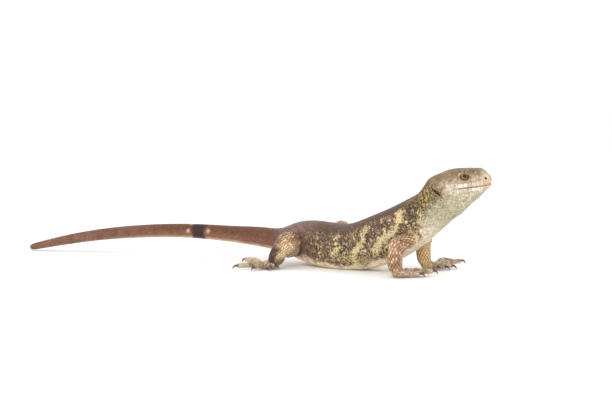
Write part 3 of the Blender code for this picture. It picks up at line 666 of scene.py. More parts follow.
# %% [markdown]
# On a real animal the legs grow out of the body without a seam. We join all forms with one Boolean
# union and then relax only the points near a crease, each a little towards the middle of its
# neighbours, again and again. That melts the crease into a soft web of skin, as at a real shoulder.


# %% One skin
def limb_rings(name):
    """Fine rings of one limb form, a coat's depth inside the solid."""
    form = limbs[name]
    toe, palm = "_toe_" in name, name.endswith("palm")
    spacing, columns = (1.1, 16) if toe else (1.3, 32)
    growth = -TOE_COAT_DEPTH if toe else -PALM_COAT_DEPTH if palm else -COAT_DEPTH
    closing = 1.6 if toe else 3.0 if palm or name.endswith("lower") else 0.0
    count = int((form.length - closing) / spacing) + 2
    s = np.linspace(0.0, form.length - closing, count)
    if closing:
        s = np.concatenate((s[:-1], form.length - closing * (1 - np.sin(np.linspace(0, 1.4, 5)))))
    angles = np.linspace(0.0, 2 * math.pi, columns, endpoint=False)
    return form.point(s[:, None], angles[None], growth, closing)


def joint_ball(name, centre, radius):
    """Sphere that fills the outside of an elbow or knee."""
    polar = np.linspace(0.15, math.pi - 0.15, 14)[:, None, None]
    turn = np.linspace(0, 2 * math.pi, 28, endpoint=False)[None, :, None]
    x_axis, y_axis = np.array([1.0, 0, 0]), np.array([0, 1.0, 0])
    rings = centre + radius * (np.sin(polar) * (np.cos(turn) * x_axis + np.sin(turn) * y_axis)
                               + np.cos(polar) * UP)
    return closed_tube(name, rings, centre + radius * UP, centre - radius * UP, inside_out=False)


def unite(base, others):
    """One Boolean union of a closed mesh with a collection of closed meshes."""
    group = bpy.data.collections.new("union_pieces")
    bpy.context.scene.collection.children.link(group)
    for piece in others:
        group.objects.link(piece)
    boolean = base.modifiers.new("union", "BOOLEAN")
    boolean.operation = "UNION"
    boolean.operand_type = "COLLECTION"
    boolean.collection = group
    boolean.solver = "MANIFOLD"
    joined = final_mesh(base)
    for piece in [base, *others]:
        bpy.data.objects.remove(piece)
    bpy.data.collections.remove(group)
    return joined


def samples_of(form, spacing=2.0):
    """Middles and radii along a limb form, to measure distances from it."""
    s = np.linspace(0.0, form.length, int(form.length / spacing) + 2)
    return form.centre(s), form.radius(s) * (1.0 if form.flatness == 1.0 else 0.85)


limb_samples = {name: samples_of(form) for name, form in limbs.items()}
spine_steps = np.arange(0.0, BODY_LENGTH, 1.0)
spine_middles = spine(spine_steps)


def body_place(points):
    """Distance from the nose, angle round the body and height over its surface for any points."""
    nearest = np.empty(len(points), int)
    for start in range(0, len(points), BODY_CHUNK):
        part = points[start:start + BODY_CHUNK]
        gaps = ((part**2).sum(1)[:, None] - 2 * part @ spine_middles.T
                + (spine_middles**2).sum(1)[None])
        nearest[start:start + BODY_CHUNK] = gaps.argmin(axis=1)
    s = spine_steps[nearest]
    forward, left, up = section_axes(s)
    s = s - np.clip(((points - spine_middles[nearest]) * forward).sum(1), -1.5, 1.5)
    s = np.clip(s, 0.0, BODY_LENGTH)
    offset = points - spine(s)
    side, height = (offset * left).sum(1), (offset * up).sum(1)
    width, above, below = (np.maximum(size, 0.5) for size in section_extent(s))
    tall = np.where(height >= 0, above, below)
    angle = np.arctan2(height / tall, side / width)
    ratio = np.hypot(height / tall, side / width)
    return s, angle, (ratio - 1.0) * np.minimum(width, tall), height


def limb_distances(points):
    """Distance of each point from the surface of every limb form, one column a form."""
    columns = []
    for middles, radii in limb_samples.values():
        gaps = np.sqrt(np.maximum((points**2).sum(1)[:, None] - 2 * points @ middles.T
                                  + (middles**2).sum(1)[None], 0.0))
        columns.append((gaps - radii[None]).min(axis=1))
    return np.stack(columns, 1)


def relax(points, edges, weight, rounds):
    """Move each point by its weight towards the mean of its neighbours, several times."""
    a, b = edges.T
    count = np.maximum(np.bincount(a, minlength=len(points)) + np.bincount(b, minlength=len(points)), 1)
    for _ in range(rounds):
        mean = np.empty_like(points)
        for axis in range(3):
            column = points[:, axis]
            total = (np.bincount(a, column[b], len(points)) + np.bincount(b, column[a], len(points)))
            mean[:, axis] = total / count
        points = points + (mean - points) * weight[:, None] * 0.5
    return points


WEB_OF_SKIN = 7.0


def crease_weight(points):
    """1 where two forms meet and 0 away from it; the reach follows the thinner of the two."""
    body = body_place(points)[2]
    each = np.abs(np.concatenate((body[:, None], limb_distances(points)), axis=1))
    thickness = np.array([30.0] + [limb_samples[name][1].mean() for name in limbs])
    order = np.argsort(each, axis=1)[:, :2]
    second = np.take_along_axis(each, order, 1)[:, 1]
    reach = np.minimum(thickness[order].min(axis=1) * 0.6, WEB_OF_SKIN)
    return np.clip(1.0 - second / reach, 0.0, 1.0)


def make_skin():
    """Union of body and limbs with its creases relaxed."""
    pieces = [closed_tube(name, limb_rings(name)) for name in limbs]
    for kind, joints, radii in (("hand", ARM_JOINTS, ARM_RADII), ("foot", LEG_JOINTS, LEG_RADII)):
        for side in SIDES:
            centre = np.array(joints[side][2], float)
            pieces.append(joint_ball(f"{kind}_{side}_joint", centre, radii[2] - COAT_DEPTH))
    mesh = unite(body_skin, pieces)
    mesh.name = "skin"
    points = mesh_points(mesh)
    edges = np.empty(len(mesh.edges) * 2, np.int32)
    mesh.edges.foreach_get("vertices", edges)
    s, angle, _, _ = body_place(points)
    throat = np.exp(-((s - 48.0) / 12.0)**2) * step_up(-np.sin(angle), 0.3, 0.7)
    weight = np.maximum(crease_weight(points) * step_up(s, 58.0, 66.0), 0.7 * throat)
    points = relax(points, edges.reshape(-1, 2), weight, 24)
    points[:, 2] = np.maximum(points[:, 2], FLOOR_CLEARANCE)
    mesh.vertices.foreach_set("co", (points * MM).astype(np.float32).ravel())
    mesh.update()
    mesh.shade_smooth()
    obj = bpy.data.objects.new("skin", mesh)
    bpy.context.scene.collection.objects.link(obj)
    return obj


skin = make_skin()
print("skin:", len(skin.data.vertices), "points,", len(skin.data.polygons), "faces")

# %% [markdown]
# Markings come next, because skin and scales share them. They are a recipe, not a picture: dark brown
# on the back, a flank of dark, black and yellow specks crossed by ragged cream bands, cream below, an
# olive neck with yellow bars, pale throat, and a tail with one dark ring where it once broke and grew
# back. Smooth random clouds make every border ragged. Each scale draws its own chances. Some light is
# painted in too: the cream below is lightened as painted bounce light from the floor, and a painted
# shadow darkens the crease before each thigh.

# %% Markings
BACK, FLANK, MID_BROWN = (0.108, 0.053, 0.034), (0.105, 0.056, 0.040), (0.21, 0.125, 0.076)
CREAM, YELLOW, BLACK = (0.68, 0.54, 0.29), (0.44, 0.30, 0.085), (0.020, 0.012, 0.010)
# First on the next line: the belly's cream, lightened as painted bounce light from the floor.
BELLY_CREAM_AND_BOUNCE, CHEST, THROAT = (0.92, 0.76, 0.53), (0.72, 0.64, 0.50), (0.46, 0.41, 0.28)
OLIVE, SAGE, RUMP = (0.19, 0.130, 0.050), (0.36, 0.32, 0.185), (0.200, 0.120, 0.096)
TAIL_TOP, TAIL_LOW, TAIL_UNDER = (0.145, 0.054, 0.026), (0.24, 0.105, 0.055), (0.60, 0.42, 0.26)
REGROWN, RING, PALE_SPOT = (0.24, 0.120, 0.080), (0.030, 0.013, 0.013), (0.62, 0.50, 0.36)
HEAD_TOP, HEAD_SIDE, CHEEK = (0.24, 0.160, 0.095), (0.40, 0.30, 0.20), (0.54, 0.45, 0.37)
LIP, SNOUT, JAW = (0.66, 0.55, 0.42), (0.78, 0.54, 0.34), (0.52, 0.46, 0.33)
# Next line: a painted highlight for the lip shields, and the upper lids' pink with a painted highlight.
LIP_HIGHLIGHT, LID_PINK_AND_HIGHLIGHT = (0.92, 0.86, 0.80), (0.66, 0.44, 0.34)
# Last on the next line: painted shade for the slit of the mouth.
LID_DARK, LID_YELLOW, MOUTH_SHADE = (0.050, 0.022, 0.034), (0.50, 0.36, 0.08), (0.13, 0.065, 0.035)
# Last on the next line: the far foreleg's olive, lightened as painted fill light.
ARM, ARM_PALE, ARM_OLIVE_AND_FILL = (0.44, 0.245, 0.125), (0.80, 0.58, 0.40), (0.93, 0.71, 0.34)
# Middle of the next line: the hind legs' cream, lightened as painted fill light.
LEG_DARK, LEG_PALE_AND_FILL, PAW = (0.075, 0.036, 0.026), (0.92, 0.72, 0.44), (0.84, 0.70, 0.53)

# Cream bands of the flank: path of (distance from the nose, height round the body), half width in mm
# and strength
BANDS = (
    (((100, 0.55), (103, 0.47), (110, 0.05), (119, -0.07), (128, -0.17), (137, -0.28), (145, -0.46)),
     4.0, 1.0),
    (((150, 0.60), (153, 0.25), (157, 0.0), (167, -0.24), (177, -0.50)), 3.8, 0.9),
    (((190, 0.48), (193, 0.16), (195, -0.10), (202, -0.40)), 3.2, 0.62),
    (((225, 0.44), (222, 0.17), (217, -0.10)), 2.6, 0.3),
    (((81, 0.20), (84, 0.0), (88, -0.36)), 3.4, 1.0),
    (((126, 0.62), (124, 0.5)), 2.0, 0.6),
    (((252, 0.3), (248, -0.1)), 2.0, 0.2),
)
BELLY_EDGE = ((0, -0.05), (35, -0.10), (60, -0.17), (86, -0.40), (105, -0.62), (125, -0.84), (171, -0.78),
              (221, -0.64), (250, -0.55), (285, -0.62), (330, -0.80), (430, -0.86), (660, -0.75))
FLANK_HEIGHT = 30.0
TAIL_RING = (411.0, 428.0)
SHOULDER_PATCH = (105.5, -20.0, 43.0)
PALE_SPOTS = ((434.1, 175.0), (405.1, 168.0), (436.0, 20.0), (403.0, 8.0), (433.0, 100.0))


def chance_at(cells, seed):
    """Random number from 0 to 1 that depends only on whole-number cell coordinates and the seed."""
    mixed = (cells[..., 0] * 73856093) ^ (cells[..., 1] * 19349663) ^ (cells[..., 2] * 83492791)
    mixed = (mixed ^ (seed * 97531)) & 0xFFFFFFFF
    mixed = ((mixed ^ (mixed >> 13)) * 1274126177) & 0xFFFFFFFF
    return ((mixed ^ (mixed >> 16)) & 0xFFFF) / 65535.0


def cloud(points, size, seed):
    """Smooth noise from 0 to 1: random values at the corners of cells, blended by S-curves."""
    q = points / size
    cell = np.floor(q).astype(np.int64)
    f = q - cell
    f = f * f * (3 - 2 * f)
    total = np.zeros(len(points))
    for corner in np.ndindex(2, 2, 2):
        weight = np.prod(np.where(np.array(corner) == 1, f, 1 - f), axis=1)
        total += weight * chance_at(cell + np.array(corner), seed)
    return total


def paint(colours, colour, weight):
    """Blend a colour over others by a weight from 0 to 1."""
    return colours + (np.asarray(colour) - colours) * np.clip(weight, 0, 1)[:, None]


def band_strength(s, rise):
    """Bell of the distance from the nearest cream band, measured over the side of the body."""
    best = np.zeros(len(s))
    here = np.stack((s, rise * FLANK_HEIGHT), 1)
    for path, half_width, strength in BANDS:
        corners = np.array(path, float) * (1.0, FLANK_HEIGHT)
        for a, b in zip(corners[:-1], corners[1:]):
            t = np.clip(((here - a) @ (b - a)) / ((b - a) @ (b - a)), 0, 1)
            gap = np.linalg.norm(here - a - t[:, None] * (b - a), axis=1)
            best = np.maximum(best, strength * np.exp(-(gap / half_width)**2))
    return best


def neck_colours(points, s, rise, chance):
    """Olive neck with yellow and black specks and bars, fading below to pale sage with dark dots."""
    colours = np.tile(OLIVE, (len(points), 1))
    colours = paint(colours, YELLOW, (chance[:, 1] < 0.25) * 0.7)
    colours = paint(colours, BLACK, (chance[:, 2] < 0.16) * 0.8)
    bars = np.sin((s + 9.0 * rise) * 2 * math.pi / 4.4 + 2.0 * cloud(points, 4.0, 29)) > 0.0
    near_bars = np.exp(-((s - 68.0) / 6.0)**2 - ((rise - 0.55) / 0.34)**2)
    colours = paint(colours, np.where(bars[:, None], BLACK, YELLOW), near_bars * 1.6)
    low = step_up(-rise, -0.24, 0.26)
    colours = paint(colours, SAGE, low)
    colours = paint(colours, THROAT, low * (chance[:, 1] < 0.4) * 0.8)
    dots = (chance[:, 2] < 0.14 - 0.14 * step_up(-rise, -0.1, 0.5)) * low
    return paint(colours, BLACK, dots * 0.6)


def flank_colours(points, s, rise, far_side, chance):
    """Dark brown with black, yellow and cream specks, and the ragged cream bands."""
    ragged, fine = cloud(points, 7.0, 3) - 0.5, cloud(points, 2.6, 5) - 0.5
    colours = np.tile(FLANK, (len(points), 1))
    colours = paint(colours, MID_BROWN, (chance[:, 0] < 0.45) * 0.9)
    bands = band_strength(s + np.where(far_side, 6.0, 0.0) + 5.0 * ragged, rise + 0.2 * fine)
    lower = step_up(-rise, 0.0, 0.7)
    quiet = 1.0 - 0.72 * step_up(s, 205.0, 255.0)
    pale = (0.10 + 0.20 * cloud(points, 14.0, 7) + 0.24 * lower) * quiet
    colours = paint(colours, YELLOW, (chance[:, 1] < pale * 0.5) * 0.6)
    colours = paint(colours, CREAM, (chance[:, 1] < pale * 0.25) * 0.8)
    colours = paint(colours, CREAM, (chance[:, 1] < 1.15 * bands) * (0.78 + 0.2 * (chance[:, 0] < 0.6)))
    colours = paint(colours, BLACK, (chance[:, 2] < 0.10 * quiet * (1 - 0.8 * bands)) * 0.7)
    behind_elbow = np.exp(-((s - 138.0) / 9.0)**2 - ((rise + 0.62) / 0.16)**2)
    return paint(colours, BLACK, behind_elbow * (chance[:, 0] < 0.6) * 0.8)


def tail_colours(points, s, angle, rise, chance):
    """Red-brown above and orange-brown below, one dark ring, and plain mottled brown past it."""
    ragged, mottle = cloud(points, 7.0, 3) - 0.5, cloud(points, 9.0, 11)
    colours = paint(np.tile(TAIL_TOP, (len(points), 1)), TAIL_LOW, step_up(-rise, -0.35, 0.45))
    colours = paint(colours, TAIL_UNDER, step_up(-rise, 0.45, 0.85))
    colours = colours * (0.78 + 0.40 * mottle + 0.2 * chance[:, 0] - 0.1)[:, None]
    regrown = step_up(s, 428.0, 560.0)
    colours = paint(colours, REGROWN, 0.75 * regrown)
    colours = paint(colours, TAIL_TOP, 0.55 * regrown * step_up(mottle, 0.5, 0.75))
    start, stop = TAIL_RING
    along = s + 5 * ragged
    ring = step_up(along, start - 2, start + 2) * (1 - step_up(along, stop - 2, stop + 2))
    colours = paint(colours, RING, 0.92 * ring)
    for spot_s, degrees in PALE_SPOTS:
        turn = np.angle(np.exp(1j * (angle - math.radians(degrees)))) * 8.5
        colours = paint(colours, PALE_SPOT, 1.2 * np.exp(-((s - spot_s)**2 + turn**2) / 4.5))
    return colours


def trunk_colours(points, s, angle, chance):
    """Back, flank, belly, neck and tail, each blended over the last."""
    rise = np.sin(angle)
    ragged, fine = cloud(points, 7.0, 3) - 0.5, cloud(points, 2.6, 5) - 0.5
    colours = flank_colours(points, s, rise, np.cos(angle) > 0, chance)
    back = step_up(rise + 0.35 * ragged, 0.48, 0.70)
    colours = paint(colours, BACK, back * (0.88 + 0.12 * (chance[:, 0] < 0.7)))
    neck = step_up(s + 6 * ragged, 50.0, 60.0) * (1 - step_up(s + 12 * ragged, 78.0, 94.0))
    neck = neck * (1 - 0.85 * step_up(rise + 0.3 * ragged, 0.68, 0.9))
    colours = paint(colours, neck_colours(points, s, rise, chance), neck)
    rump = step_up(s + 14 * ragged, 222.0, 252.0) * (0.55 + 0.45 * back)
    streak = 0.58 + 0.84 * cloud(points * (0.3, 1.0, 1.0), 1.9, 31)
    colours = paint(colours, np.array(RUMP) * streak[:, None], rump)
    edge = np.interp(s, *np.array(BELLY_EDGE).T)
    soft = 0.12 + 0.2 * step_up(-s, -115.0, -80.0)
    under = step_up((edge - rise + 0.22 * ragged + 0.2 * fine) / soft, -0.9, 1.0)
    # Underside: its own cream, lightened as painted bounce light from the floor.
    pale = paint(np.tile(BELLY_CREAM_AND_BOUNCE, (len(points), 1)), CHEST, step_up(-s, -150.0, -110.0))
    pale = paint(pale, THROAT, step_up(-s, -98.0, -72.0))
    pale = paint(pale, SAGE, (chance[:, 2] < 0.25) * 0.6 * step_up(rise - edge, -0.5, -0.1) * (s < 110))
    colours = paint(colours, pale, under)
    tail = step_up(s + 8 * ragged, 278.0, 312.0)
    return paint(colours, tail_colours(points, s, angle, rise, chance), tail)


def fleck_shares(points, s, angle, on_leg):
    """Share of the surface under pale flecks and under dark ones, and how yellow the pale ones are."""
    rise = np.sin(angle)
    ragged = cloud(points, 7.0, 3) - 0.5
    edge = np.interp(s, *np.array(BELLY_EDGE).T)
    side = step_up(rise - edge + 0.3 * ragged, -0.12, 0.22) * (1 - step_up(rise + 0.35 * ragged, 0.5, 0.85))
    flank = side * step_up(s + 10 * ragged, 74.0, 92.0) * (1 - 0.65 * step_up(s, 205.0, 250.0))
    flank = flank * (1 - step_up(s, 262.0, 292.0))
    lower = step_up(-rise, -0.2, 0.6)
    bands = band_strength(s + 5.0 * ragged, rise)
    pale = flank * (0.14 + 0.18 * lower + 0.24 * cloud(points, 13.0, 7) + 0.22 * bands)
    dark = flank * (0.34 - 0.04 * lower - 0.08 * bands)
    neck = step_up(s, 50.0, 58.0) * (1 - step_up(s + 10 * ragged, 84.0, 100.0))
    neck = neck * (1 - step_up(rise, 0.66, 0.86))
    pale = pale + neck * 0.32 * step_up(rise, -0.3, 0.3)
    dark = dark + neck * (0.44 - 0.40 * step_up(-rise, -0.35, 0.7))
    head = 1 - step_up(s, 48.0, 58.0)
    above = head * step_up(rise, 0.2, 0.5)
    yellow = np.clip(1.2 * neck + 0.3 * flank, 0.0, 1.0)
    rest = step_up(s, 250.0, 290.0)
    shares = np.stack((pale + 0.07 * above, dark + 0.07 * above + 0.07 * rest, yellow), 1)
    return shares * (1 - on_leg[:, None])


print("recipe of the trunk ready")


# %% [markdown]
# The head is painted shield by shield: each draws its own tone from its number, and the grooves between
# them are darker. Lids, lips, nostrils and ears get their colours from the same distances that shaped
# them; the lips and upper lids carry painted highlights, and the nostrils, ear slits and the line of the
# mouth are dark with painted shade. The legs go by the nearest limb form and by which way the surface
# faces, and the far foreleg, the lower front of the hind legs and the undersides are lightened as painted
# light.

# %% Markings of the head and the legs
def head_colours(points, s, angle, height, chance):
    """Olive-brown shields on top, pinkish-grey cheeks, pale lips with painted highlights, pale snout, dark
    lids.
    """
    rise = np.sin(angle)
    ragged = cloud(points, 6.0, 13) - 0.5
    grain = cloud(points, 1.3, 37) - 0.5
    bare = 1.0 - step_up(s - coat_start(angle), -1.0, 1.0)
    nearest, groove, _ = shield_pattern(points)
    groove = groove * bare
    tone = chance_at(np.stack((nearest, nearest * 7, nearest * 3), 1), 17)
    tone = np.where(bare > 0.5, tone, chance[:, 0])
    colours = np.tile(HEAD_SIDE, (len(points), 1))
    colours = paint(colours, CHEEK, np.exp(-((s - 42.0) / 11.0)**2 - ((rise - 0.14) / 0.26)**2))
    colours = paint(colours, CHEEK, 0.55 * (1 - step_up(s, 14.0, 24.0)) * (rise > 0))
    colours = paint(colours, HEAD_TOP, step_up(rise + 0.3 * ragged, 0.40, 0.66) * step_up(s, 5.0, 14.0))
    colours = paint(colours, OLIVE, 0.4 * step_up(cloud(points, 4.0, 19), 0.5, 0.8) * (rise > 0.15))
    colours = paint(colours, SAGE, 0.6 * step_up(-rise, -0.1, 0.1) * step_up(s, 34.0, 44.0))
    colours = paint(colours, JAW, step_up(-height, -0.4, 0.6) * (1 - 0.3 * step_up(s, 34.0, 50.0)))
    lip = step_up(5.6 - np.abs(height - 0.6), 0.0, 1.6) * (1 - step_up(s, 33.0, 40.0))
    colours = paint(colours, LIP, 0.85 * lip)
    # Painted highlight: a near-white patch on about half the lip shields, for the shine of light on them.
    lip_highlight = np.exp(-((height - np.where(height > 0, 3.0, -3.2)) / 1.5)**2) * (tone > 0.45) * lip
    colours = paint(colours, LIP_HIGHLIGHT, 0.5 * lip_highlight)
    tip = s + 4 * ragged + 9.0 * step_up(rise, 0.55, 0.95)
    colours = paint(colours, SNOUT, 0.9 * (1 - step_up(tip, 3.0, 14.0)))
    colours = colours * (0.76 + 0.42 * tone + 0.4 * grain)[:, None]
    specks = step_up(cloud(points, 2.0, 61), 0.66, 0.78) * step_up(rise, -0.1, 0.15) * step_up(s, 30.0, 42.0)
    colours = paint(colours, OLIVE, 0.55 * specks)
    colours = paint(colours, colours * 0.34, groove * (0.8 - 0.45 * (s < 7)))
    # Painted shade: a dark line along the slit of the mouth, between the lips.
    mouth_shade = np.exp(-(height / 0.5)**2) * (1 - step_up(s, MOUTH_LENGTH, MOUTH_LENGTH + 4)) * (s > 1)
    colours = paint(colours, MOUTH_SHADE, 0.85 * mouth_shade)
    first_granule = len(shields) - lid_granules
    for side in SIDES:
        reach, _, out, down = eye_place(points, side)
        lid = (1 - step_up(reach, 1.85, 2.15)) * (out > 0) * (nearest >= first_granule)
        upper = step_up(-down, 0.6, 3.0)[:, None]
        corner = ((tone > 0.55) & (down > -1.5))[:, None]
        # Upper lids: their own pinkish colour with a painted highlight, lighter where they face up to the
        # light.
        granule = np.where(corner, LID_YELLOW, HEAD_SIDE) * (1 - upper) + np.array(LID_PINK_AND_HIGHLIGHT) * upper
        colours = paint(colours, granule * (1 - 0.5 * groove[:, None]), 0.8 * lid)
        ring = (1 - step_up(reach + 0.3 * upper[:, 0], 1.3, 1.62)) * (out > 0)
        colours = paint(colours, LID_DARK, 0.92 * ring)
        nostril = nostril_reach(points, side)
        colours = paint(colours, LIP, 0.7 * np.exp(-((nostril - 1.6) / 0.6)**2))
        # Painted shade: black inside each nostril, where light does not reach.
        colours = paint(colours, BLACK, 1.2 * np.exp(-(nostril / 1.05)**8))
    return colours


def leg_colours(points, forms, chance, out):
    """Orange-brown forelegs, tan thighs, shanks dark behind, and olive-cream toes."""
    kind = np.array(list(limbs))[forms]
    arm = np.char.startswith(kind, "hand")
    left = np.char.find(kind, "left") >= 0
    toe = np.char.find(kind, "_toe_") >= 0
    palm = np.char.endswith(kind, "palm")
    height = points[:, 2]
    colours = np.tile(ARM, (len(points), 1))
    colours = paint(colours, ARM_PALE, (chance[:, 0] < 0.45) * 0.85)
    # Far (left) foreleg: its own olive, lightened as painted fill light where the chest shades it.
    colours = paint(colours, ARM_OLIVE_AND_FILL, (arm & left) * 0.8)
    shoulder = arm * (1 - left * 0.6) * step_up(height, 36.0, 46.0)
    colours = paint(colours, MID_BROWN, shoulder * 0.35 * (chance[:, 1] < 0.6))
    patch = np.linalg.norm(points - SHOULDER_PATCH, axis=1)
    colours = paint(colours, CREAM, 1.2 * arm * np.exp(-(patch / 5.5)**2))
    leg = ~arm & ~toe & ~palm
    front = step_up(out @ np.array([0.9, 0.0, -0.3]), -0.3, 0.4)
    # Lower front of the hind legs: their own cream, lightened as painted fill light where they lie in shade.
    colours = paint(colours, LEG_PALE_AND_FILL, leg * front * step_up(-height, -36.0, -24.0) * 0.9)
    behind = -0.77 * out[:, 0] - np.where(left, -0.64, 0.64) * out[:, 1]
    dark = leg * step_up(behind, -0.25, 0.3) * step_up(-height, -29.0, -22.0)
    dark = np.maximum(dark, leg * step_up(-height, -15.0, -10.0) * 0.75)
    colours = paint(colours, MID_BROWN, leg * step_up(behind, 0.1, 0.8) * 0.7)
    colours = paint(colours, LEG_DARK, dark * (0.82 + 0.15 * (chance[:, 1] < 0.7)))
    paw = (toe | palm) * 1.0
    colours = paint(colours, PAW, 0.92 * paw)
    colours = paint(colours, CREAM, paw * 0.6 * (chance[:, 0] < 0.25))
    blotch = np.maximum(step_up(cloud(points, 6.5, 23), 0.62, 0.8), (chance[:, 1] < 0.12) * 1.0)
    colours = paint(colours, LEG_DARK, paw * 0.6 * blotch)
    ends = np.array([form.centre(form.length) for form in limbs.values()])
    to_claw = np.linalg.norm(points - ends[forms], axis=1)
    colours = paint(colours, LEG_DARK, toe * 0.8 * (1 - step_up(to_claw, 2.0, 3.2)))
    # Undersides of the legs: the belly's cream, lightened as painted bounce light.
    return paint(colours, BELLY_CREAM_AND_BOUNCE, 0.7 * step_up(-out[:, 2], 0.45, 0.85))


def places_of(points):
    """Everything that the recipe asks about a point: its place on the body and how near the legs are."""
    over_limbs = limb_distances(points)
    return (points, *body_place(points), over_limbs.min(axis=1), over_limbs.argmin(axis=1))


def markings(places, chance, out):
    """Colour of every point: legs by the nearest limb form, head by its shields, trunk otherwise."""
    points, s, angle, over_body, height, over_limbs, forms = places
    colours = trunk_colours(points, s, angle, chance)
    rise = np.sin(angle)
    ragged = cloud(points, 5.0, 71) - 0.5
    back_of_head = 51.5 + 7.0 * step_up(rise, 0.2, 0.8) - 12.0 * step_up(-rise, 0.05, 0.4)
    head = 1.0 - step_up(s + 5 * ragged - back_of_head, -3.0, 3.0)
    on_head = head > 0
    painted = head_colours(points[on_head], s[on_head], angle[on_head], height[on_head], chance[on_head])
    colours[on_head] += (painted - colours[on_head]) * head[on_head, None]
    nape = np.exp(-((s - 57.0) / 2.6)**2 - ((rise - 0.96) / 0.08)**2)
    colours = paint(colours, BLACK, 1.1 * nape * step_up(cloud(points, 2.6, 67), 0.42, 0.52))
    # Painted shade: black in each ear slit, where light does not reach.
    near_ear = (s > 50) & (s < 66)
    for side in SIDES:
        ear = ear_reach(points[near_ear], side)[0]
        colours[near_ear] = paint(colours[near_ear], BLACK, 1.3 * np.exp(-(ear / 1.12)**6))
    on_leg = step_up(over_body - over_limbs, -1.5, 1.5)
    legs = on_leg > 0
    painted = leg_colours(points[legs], forms[legs], chance[legs], out[legs])
    colours[legs] += (painted - colours[legs]) * on_leg[legs, None]
    # Painted shadow: black along the crease where each thigh meets the flank, for the shade between them.
    near_thigh = step_up(s, 222.0, 230.0) * (1 - step_up(s, 254.0, 262.0))
    thigh_crease_shade = np.exp(-((over_body - over_limbs) / 1.9)**2) * near_thigh
    colours = paint(colours, BLACK, 0.8 * thigh_crease_shade * (over_body < 6.0))
    return np.clip(colours, 0.0, 1.0), on_leg


def store_colours(mesh, colours, name="markings"):
    """Keep one colour for each point in the mesh's attribute that the materials read."""
    attribute = mesh.attributes.new(name, "FLOAT_COLOR", "POINT")
    rgba = np.ones((len(colours), 4), np.float32)
    rgba[:, :3] = colours
    attribute.data.foreach_set("color", rgba.ravel())


def mesh_normals(mesh):
    """Normal of each point of a mesh."""
    flat = np.empty(len(mesh.vertices) * 3, np.float32)
    mesh.vertices.foreach_get("normal", flat)
    return flat.reshape(-1, 3).astype(float)


skin_points = mesh_points(skin.data)
skin_chance = np.stack([cloud(skin_points, 3.4, seed) for seed in (41, 43, 47)], 1)
skin_places = places_of(skin_points)
skin_colours, skin_on_leg = markings(skin_places, skin_chance, mesh_normals(skin.data))
store_colours(skin.data, skin_colours)
store_colours(skin.data, fleck_shares(*skin_places[:3], skin_on_leg), "flecks")
print("skin painted, mean colour", np.round(skin_colours.mean(axis=0), 3))

# %% [markdown]
# A material is a small network of nodes. This one reads the painted markings, varies them a little
# with fine noise, and adds a soft satin gloss and a shallow bump, as smooth horn over living skin has.
# The noise reads Object coordinates, so it keeps its size in millimetres and stays put in every view.


# %% Materials of skin and scales
FLECK_SCALE = 760.0
CREAM_FLECK, YELLOW_FLECK = (0.62, 0.49, 0.27, 1), (0.48, 0.37, 0.12, 1)
DARK_FLECK = (0.026, 0.015, 0.013, 1)


def mapped(nodes, links, value, low, high, to_low, to_high):
    """Map Range node from one range of values to another, held at both ends."""
    node = nodes.new("ShaderNodeMapRange")
    for socket, number in zip(("From Min", "From Max", "To Min", "To Max"), (low, high, to_low, to_high)):
        node.inputs[socket].default_value = number
    links.new(value, node.inputs["Value"])
    return node.outputs["Result"]


def combined(nodes, links, operation, first, second):
    """Math node of two values."""
    node = nodes.new("ShaderNodeMath")
    node.operation = operation
    links.new(first, node.inputs[0])
    links.new(second, node.inputs[1])
    return node.outputs["Value"]


def mixed(nodes, links, factor, first, second):
    """Mix node from one colour, a socket or fixed, to another."""
    node = nodes.new("ShaderNodeMix")
    node.data_type = "RGBA"
    links.new(factor, node.inputs["Factor"])
    for socket, colour in ((node.inputs["A"], first), (node.inputs["B"], second)):
        if isinstance(colour, tuple):
            socket.default_value = colour
        else:
            links.new(colour, socket)
    return node.outputs["Result"]


def noise_of(nodes, links, place, scale, detail):
    """Noise texture read at a place."""
    noise = nodes.new("ShaderNodeTexNoise")
    noise.inputs["Scale"].default_value = scale
    noise.inputs["Detail"].default_value = detail
    links.new(place, noise.inputs["Vector"])
    return noise.outputs["Fac"]


def fleck_mask(nodes, links, place, share, shift):
    """1 inside flecks of a noise: where it is above a level that falls as the wanted share grows."""
    move = nodes.new("ShaderNodeMapping")
    move.inputs["Location"].default_value = (shift, 0.7 * shift, 1.3 * shift)
    move.inputs["Scale"].default_value = (1.0, 1.0, 0.5)
    links.new(place, move.inputs["Vector"])
    noise = noise_of(nodes, links, move.outputs["Vector"], FLECK_SCALE, 2.0)
    level = mapped(nodes, links, share, 0.0, 1.0, 0.70, 0.30)
    above = combined(nodes, links, "SUBTRACT", noise, level)
    inside = mapped(nodes, links, above, -0.03, 0.05, 0.0, 0.88)
    return combined(nodes, links, "MULTIPLY", inside, mapped(nodes, links, share, 0.0, 0.1, 0.0, 1.0))


